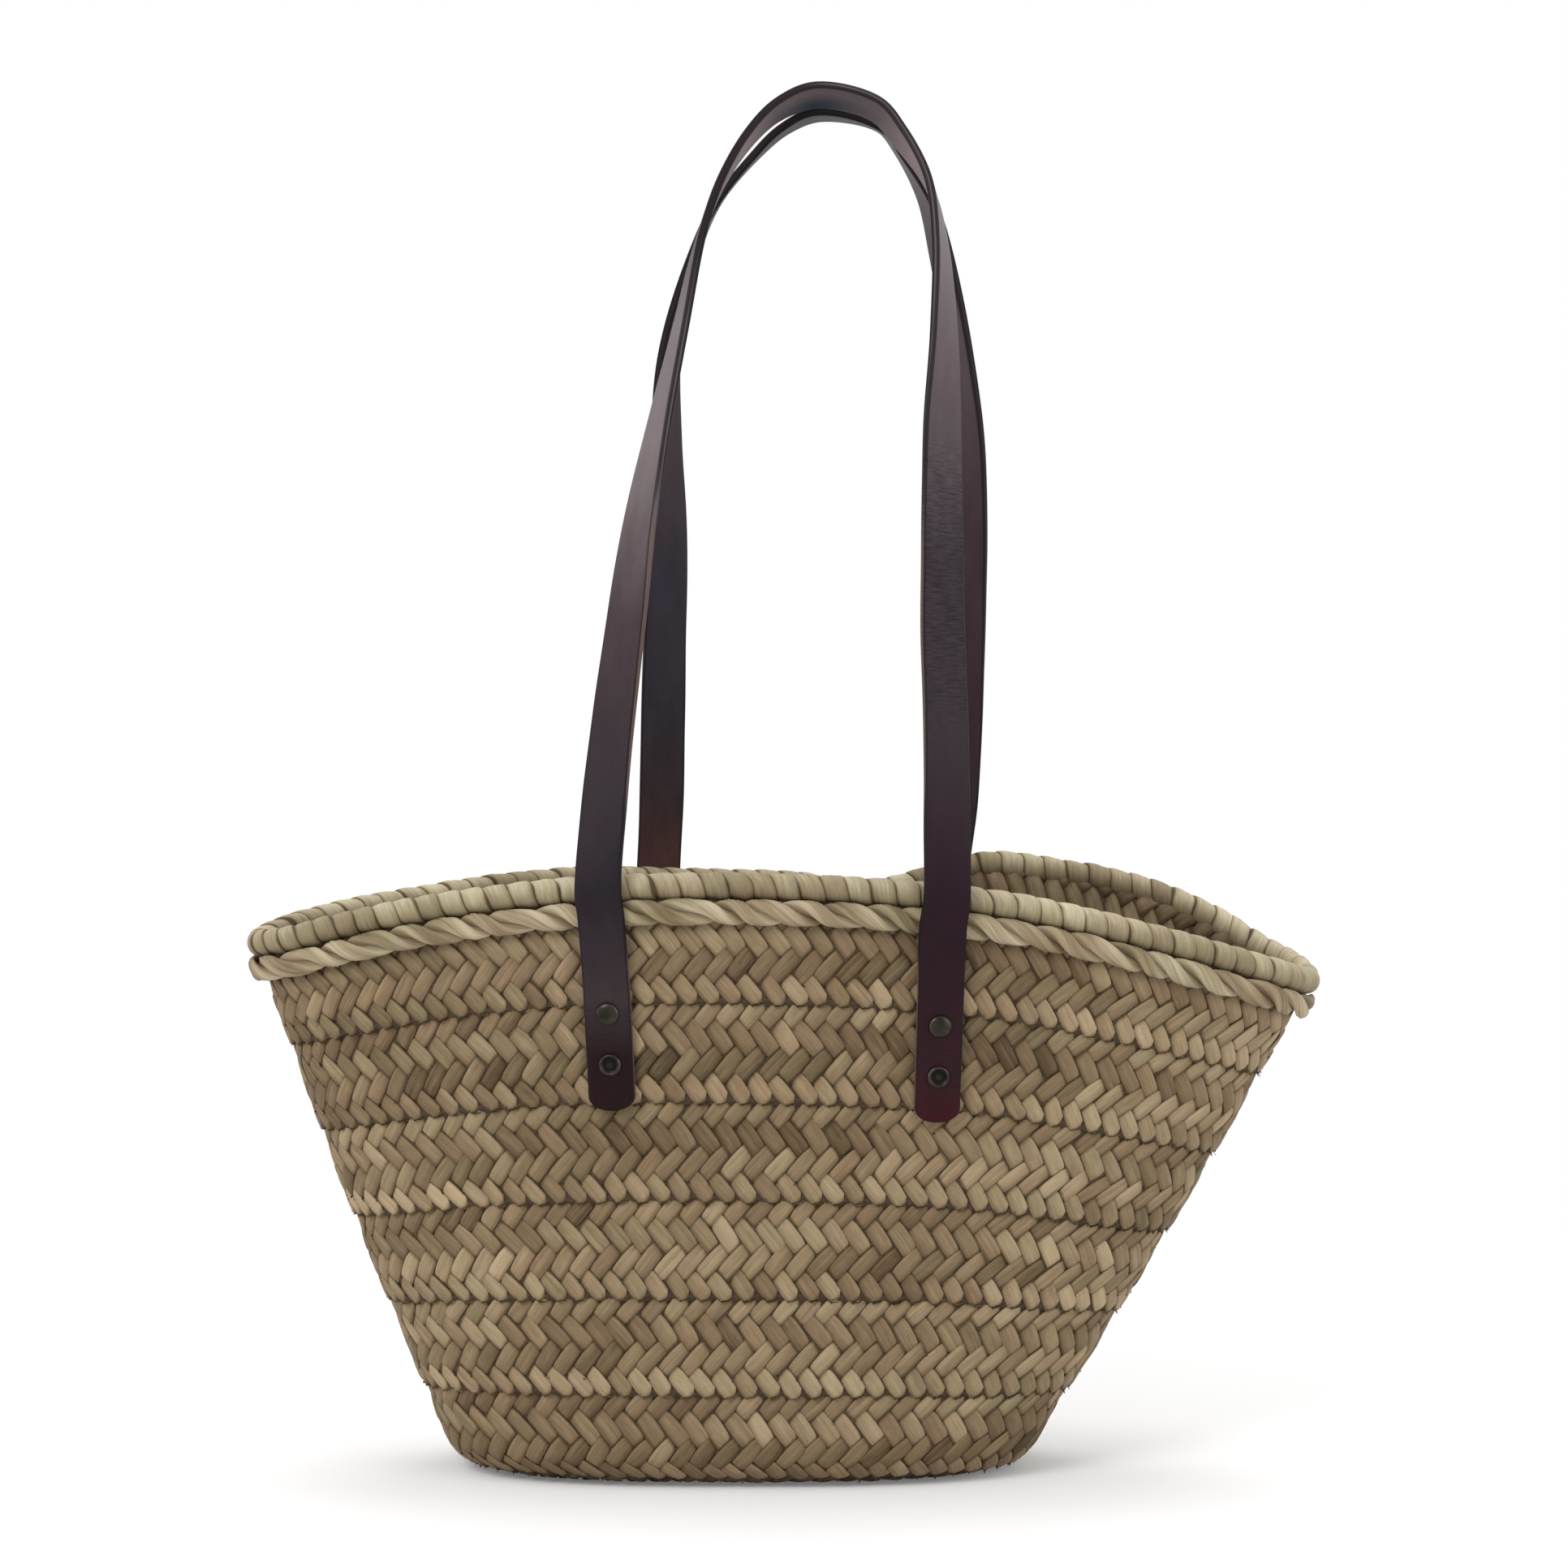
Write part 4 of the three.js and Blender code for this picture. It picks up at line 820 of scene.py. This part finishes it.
def strap(name, left, right, loop):
    section = strap_section()

    def tab_rings(end):
        """The riveted end's rings: middle, across, out, share of the half width, and nearness to a rivet."""
        bend, across, up, out = (np.array(v, float) for v in end[:4])
        made = []
        for k in range(11):
            part = math.sin(math.pi / 2 * k / 10.4)
            made.append((TAB_LENGTH - TIP_LENGTH * (1 - part), (1 - part**TIP_ROUNDNESS) ** (1 / TIP_ROUNDNESS)))
        made = [(d, 1.0) for d in np.arange(2, TAB_LENGTH - TIP_LENGTH - 0.5, 1.6)] + made
        return [(bend - up * d, across, out, half, min(1, d / 6)) for d, half in made]

    path_points, path_out = np.array(loop)[:, :3], np.array(loop)[:, 3:]
    shares = np.linspace(0, 1, 26 * 9 + 1)
    line = through(path_points, shares)
    ahead = through(path_points, np.clip(shares + 1e-4, 0, 1)) - through(path_points, np.clip(shares - 1e-4, 0, 1))
    along = unit(ahead)
    place = shares * (len(path_out) - 1)
    first = np.minimum(place.astype(int), len(path_out) - 2)
    part = (place - first)[:, None]
    out = path_out[first] * (1 - part) + path_out[first + 1] * part
    # The turn between places is eased, so that the twist has no corners
    ease = np.hanning(13)[1:-1] / np.hanning(13).sum()
    padded = np.pad(out, ((5, 5), (0, 0)), mode="edge")
    out = np.stack([np.convolve(padded[:, k], ease, "valid") for k in range(3)], -1)
    out = unit(out - along * np.sum(out * along, 1, keepdims=True))
    across = np.cross(along, out)
    first_tab = [(c, a * np.sign(a @ across[0]), o, h, f) for c, a, o, h, f in reversed(tab_rings(ENDS[left]))]
    last_tab = [(c, a * np.sign(a @ across[-1]), o, h, f) for c, a, o, h, f in tab_rings(ENDS[right])]
    bend_to_bend = [(c, a, o, 1.0, 0.0) for c, a, o in zip(line, across, out)]
    centres, acrosses, outs, halves, tab = (np.array(part) for part in zip(*first_tab, *bend_to_bend, *last_tab))
    length = np.concatenate([[0], np.cumsum(np.linalg.norm(np.diff(centres, axis=0), axis=1))])
    x = section[None, :, 0] * halves[:, None]
    y = np.broadcast_to(section[None, :, 1], x.shape) * np.minimum(1, 0.35 + halves[:, None])
    # The leather's edges waver a little along its length
    waver = 1 + 0.010 * np.sin(length / 19.0)[:, None] + 0.006 * np.sin(length / 7.3 + 2)[:, None]
    points = centres[:, None] + acrosses[:, None] * (x * waver)[..., None] + outs[:, None] * y[..., None]
    n, m = x.shape
    quads = list(patch_quads(1, n, m, wrap=True))
    for first, turn in ((0, 1), ((n - 1) * m, -1)):
        for i in range(m // 2 - 1):
            quads.append(np.array([first + i, first + i + 1, first + m - 2 - i, first + m - 1 - i])[::turn])
    quads = np.array(quads)
    mids = np.repeat(centres, m, 0)[quads[:, 0]]
    face_along(quads, points, lambda centre: centre - mids)
    # The edges are inked black; below, and along parts of the front legs, the raw leather shows at the corner
    raw = 1 - smooth((centres[:, 2] - 225) / 20)
    if name.startswith("front"):
        raw = np.maximum(raw, 0.9 * smooth((centres[:, 2] - 285) / 20) * (1 - smooth((centres[:, 2] - 400) / 40)))
    corner = smooth((np.abs(section[:, 0]) - 9.6) / 0.25)[None]
    middle = smooth((0.46 - np.abs(section[:, 1])) / 0.2)[None] * corner * (0.25 + 0.75 * raw[:, None])
    edge = smooth((np.abs(section[:, 0]) - 9.0) / 0.4)[None] * (1 - 2 * np.maximum(corner * raw[:, None], middle))
    under = smooth((-section[:, 1] - 0.4) / 0.8)
    height, place = centres[:, 2], centres[:, 0]
    strap_side = name.split("_")[0]
    wrinkle = 0.45 * tab
    if strap_side == "front":
        wrinkle = wrinkle + smooth((height - 315) / 35) * (1 - smooth((height - 425) / 40)) * (place > 60)
    leaf = np.stack(np.broadcast_arrays(0.5 + 0.5 * edge, under[None], wrinkle[:, None], tab[:, None]), -1)
    tones = LEATHER_TONES[strap_side]
    right = smooth((place - 24) / 16)[:, None]
    face = dye_and_sheen(tones["left"], height) * (1 - right) + dye_and_sheen(tones["right"], height) * right
    lining = dye_and_sheen(tones["under_left"], height) * (1 - right) + dye_and_sheen(tones["under_right"], height) * right
    skin = face[:, None] * (1 - under[None, :, None]) + lining[:, None] * under[None, :, None]
    # The lower half of the bend at the very top is in shade
    lower = smooth((height[:, None] - points[..., 2] + 0.5) / 4) * np.exp(-((place - 32) / 17) ** 2)[:, None]
    lower = (lower * under[None] * smooth((height - 575) / 12)[:, None])[..., None]
    skin = skin * (1 - lower) + np.array(seen(32, 44, 56)) * lower
    skin = np.concatenate([skin, np.ones_like(skin[..., :1])], -1)
    uv = np.stack(np.broadcast_arrays(section[None, :, 0] + 0 * x, length[:, None]), -1)
    made = piece(name, points, quads, leather, None, uv, leaf)
    colours = made.data.attributes.new("skin", "FLOAT_COLOR", "POINT")
    colours.data.foreach_set("color", skin.ravel())
    return made


leather, tree, shader = new_material("strap_leather")
leaf = node(tree, "ShaderNodeAttribute", attribute_name="leaf")
split = node(tree, "ShaderNodeSeparateColor", {"Color": leaf.outputs["Color"]})
edge_part, _, wrinkle_part = split.outputs
grain = stretched_noise(tree, 2.6, 2.2, 3)
cloud = stretched_noise(tree, 0.10, 0.035, 3)
crease = stretched_noise(tree, 0.16, 1.1, 3)
skin = node(tree, "ShaderNodeAttribute", attribute_name="skin")
uneven = ramp(tree, cloud, [(0.3, (0.86, 0.86, 0.86)), (0.7, (1.14, 1.14, 1.14))])
colour = mix_colour(tree, 1.0, skin.outputs["Color"], uneven, "MULTIPLY")
# Painted shade and highlight: the wrinkles are darkened in their furrows and lightened on their ridges.
furrow = ramp(tree, crease, [(0.36, (0.5, 0.5, 0.5)), (0.5, (1, 1, 1)), (0.64, (1.5, 1.5, 1.5))])
colour = mix_colour(tree, maths(tree, "MULTIPLY", wrinkle_part, 0.75), colour,
                    mix_colour(tree, 1.0, colour, furrow, "MULTIPLY"))
black = maths(tree, "MULTIPLY_ADD", edge_part, 2, -1, clamp=True)
raw = maths(tree, "MULTIPLY_ADD", edge_part, -2, 1, clamp=True)
colour = mix_colour(tree, maths(tree, "MULTIPLY", black, 0.9), colour, srgb(20, 15, 17))
colour = mix_colour(tree, maths(tree, "MULTIPLY", raw, 0.8), colour, srgb(108, 86, 76))
tree.links.new(colour, shader.inputs["Base Color"])
tree.links.new(maths(tree, "MULTIPLY_ADD", cloud, 0.25, 0.34), shader.inputs["Roughness"])
shader.inputs["Specular IOR Level"].default_value = 0.11
bump = tree.nodes.new("ShaderNodeBump")
bump.inputs["Strength"].default_value = 0.4
bump.inputs["Distance"].default_value = 0.0003
height = maths(tree, "ADD", maths(tree, "MULTIPLY", grain, 0.5),
               maths(tree, "MULTIPLY", crease, maths(tree, "MULTIPLY_ADD", wrinkle_part, 5.0, 0.35)))
tree.links.new(height, bump.inputs["Height"])
tree.links.new(bump.outputs[0], shader.inputs["Normal"])

for name in ("front", "back"):
    made = strap(f"{name}_leather", f"{name}_left", f"{name}_right", LOOPS[name])
    joint = next(j for j in frame["joints"] if j["child"] == f"{name}_strap")
    pivot, axis = np.array(joint["pos_m"]), np.array(joint["axis"])
    up = np.cross(axis, np.cross([0, 0, 1], axis))
    up = up / np.linalg.norm(up)
    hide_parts(f"{name}_strap", f"strap_end_{name}_left", f"strap_end_{name}_right")
    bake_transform(made)

# ---------------------------------------------------------------- rivets
metal, tree, shader = new_material("rivet_metal")
shader.inputs["Metallic"].default_value = 1
coords = node(tree, "ShaderNodeTexCoord")
noise = node(tree, "ShaderNodeTexNoise", {"Vector": coords.outputs["Object"]})
noise.inputs["Scale"].default_value = 160
noise.inputs["Detail"].default_value = 3
glint_and_dish = node(tree, "ShaderNodeAttribute", attribute_name="leaf")
glint_and_dish = node(tree, "ShaderNodeSeparateColor", {"Color": glint_and_dish.outputs["Color"]})
colour = ramp(tree, noise.outputs["Fac"], [(0.35, srgb(44, 41, 37)), (0.7, srgb(68, 62, 55))])
# Painted reflection: the bright crescent on each cap's rim; the dish is darker.
colour = mix_colour(tree, glint_and_dish.outputs[1], colour, srgb(28, 26, 25))
colour = mix_colour(tree, glint_and_dish.outputs[0], colour, srgb(168, 158, 142))
tree.links.new(colour, shader.inputs["Base Color"])
tree.links.new(maths(tree, "MULTIPLY_ADD", noise.outputs["Fac"], 0.15, 0.22), shader.inputs["Roughness"])


def lathe(name, profile, end, depth):
    bend, across, up, out = (np.array(v, float) for v in end[:4])
    sides = 40
    turn = np.arange(sides) / sides * TAU
    profile = np.array(profile, float)
    r, z = profile[:, 0][:, None], profile[:, 1][:, None]
    centre = bend - up * depth
    points = centre + across * (r * np.cos(turn))[..., None] + up * (r * np.sin(turn))[..., None]
    points = points + out * (z + 0 * turn)[..., None]
    quads = patch_quads(1, len(profile), sides, wrap=True)
    # The cap's rim carries a painted reflection, bright most of all low down, and its dish is darker.
    painted_glint = np.exp(-((r - 4.75) / 0.2) ** 2) * smooth((z - 1.9) / 0.3)
    painted_glint = painted_glint * (0.12 + 0.88 * (0.5 - 0.5 * np.sin(turn)) ** 2)
    dark = smooth((3.4 - r) / 0.4) * smooth((2.9 - z) / 0.3) + 0 * turn
    return piece(name, points, quads, metal, "basket", leaf=leaf_data(painted_glint, dark, 0, 0))


def dome(radius, foot, rise):
    arc = np.radians(np.arange(12, 90, 12))
    return [(radius * math.cos(a), foot + rise * math.sin(a)) for a in arc] + [(0.05, foot + rise)]


def rivet_profile(dished):
    """Radii and heights over the leather's middle, from the shank out and over the cap."""
    seat = STRAP_THICKNESS / 2 + 0.05
    edge = [(0.05, seat - 1), (1.5, seat - 1), (1.5, seat), (4.35, seat), (4.6, seat + 0.25),
            (4.62, seat + 0.6), (4.45, seat + 0.85)]
    if dished:
        face = [(4.2, seat + 1.25), (3.9, seat + 1.5), (3.6, seat + 1.55), (3.35, seat + 1.4), (3.15, seat + 1.0),
                (2.95, seat + 0.75), (2.6, seat + 0.7), (1.6, seat + 0.8), (0.8, seat + 0.9), (0.05, seat + 0.95)]
    else:
        face = dome(4.4, seat + 0.85, 1.25)
    return [(r * 1.05 if r > 2 else r, z) for r, z in edge + face]


def inner_profile(seat):
    """The same for the cap inside the basket, whose flat rim is at seat."""
    flat = [(0.05, seat + 0.9), (1.9, seat + 0.9), (1.9, seat), (4.4, seat), (4.4, seat - 0.9)]
    return flat + dome(4.4, seat - 0.9, -1.5)


for place, end in ENDS.items():
    for step, level in enumerate(("upper", "lower")):
        depth = BEND_TO_RIVET + step * RIVET_PITCH
        cap = lathe(f"cap_{place}_{level}", rivet_profile(level == "lower"), end, depth)
        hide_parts(f"rivet_{place}_{level}")
        back = lathe(f"backcap_{place}_{level}", inner_profile(end[4][step]), end, depth)
        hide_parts(f"inner_cap_{place}_{level}")

# ---------------------------------------------------------------- floor and light
bpy.ops.mesh.primitive_plane_add(size=40)
floor = bpy.context.object
floor.name = "floor"
material, tree, shader = new_material("floor_white")
shader.inputs["Base Color"].default_value = (0.94, 0.94, 0.94, 1)
shader.inputs["Roughness"].default_value = 0.8
shader.inputs["Specular IOR Level"].default_value = 0.1
rays = background_rays(tree)
tree.links.new(maths(tree, "MULTIPLY", rays, 0.125), shader.inputs["Emission Strength"])
shader.inputs["Emission Color"].default_value = (1, 1, 1, 1)
place = node(tree, "ShaderNodeTexCoord").outputs["Object"]
span = node(tree, "ShaderNodeVectorMath", {"Vector": place}, operation="LENGTH").outputs["Value"]
far = node(tree, "ShaderNodeMapRange", {"Value": span}, interpolation_type="SMOOTHSTEP")
far.inputs["From Min"].default_value = 0.35
far.inputs["From Max"].default_value = 0.8
white = node(tree, "ShaderNodeEmission")
blank = node(tree, "ShaderNodeMixShader")
tree.links.new(maths(tree, "MULTIPLY", far.outputs[0], rays), blank.inputs[0])
tree.links.new(shader.outputs[0], blank.inputs[1])
tree.links.new(white.outputs[0], blank.inputs[2])
tree.links.new(blank.outputs[0], tree.nodes["Material Output"].inputs["Surface"])
floor.data.materials.append(material)


def area(name, place, target, size, power):
    data = bpy.data.lights.new(name, "AREA")
    data.shape = "RECTANGLE"
    data.size, data.size_y = size
    data.energy = power
    obj = bpy.data.objects.new(name, data)
    bpy.context.scene.collection.objects.link(obj)
    obj.location = place
    direction = np.array(target, float) - np.array(place, float)
    obj.rotation_euler = Vector(direction).to_track_quat("-Z", "Y").to_euler()
    return obj


area("key", (-1.3, -1.9, 1.7), (0, 0, 0.25), (1.2, 1.2), 34)
area("fill", (1.9, -1.6, 1.0), (0, 0, 0.25), (1.4, 1.6), 14)
area("top", (0.1, 0.5, 2.3), (0, 0, 0.2), (1.8, 1.4), 22)
area("side_left", (-2.1, -0.35, 0.5), (0, 0, 0.15), (1.2, 1.2), 6)
area("side_right", (2.1, -0.35, 0.5), (0, 0, 0.15), (1.2, 1.2), 6)

world = bpy.data.worlds.new("world")
bpy.context.scene.world = world
world.use_nodes = True
wt = world.node_tree
background = wt.nodes["Background"]
background.inputs["Color"].default_value = (1, 1, 1, 1)
wt.links.new(maths(wt, "MULTIPLY_ADD", background_rays(wt), 0.5, 0.5), background.inputs["Strength"])

bpy.context.scene.view_settings.view_transform = "Standard"
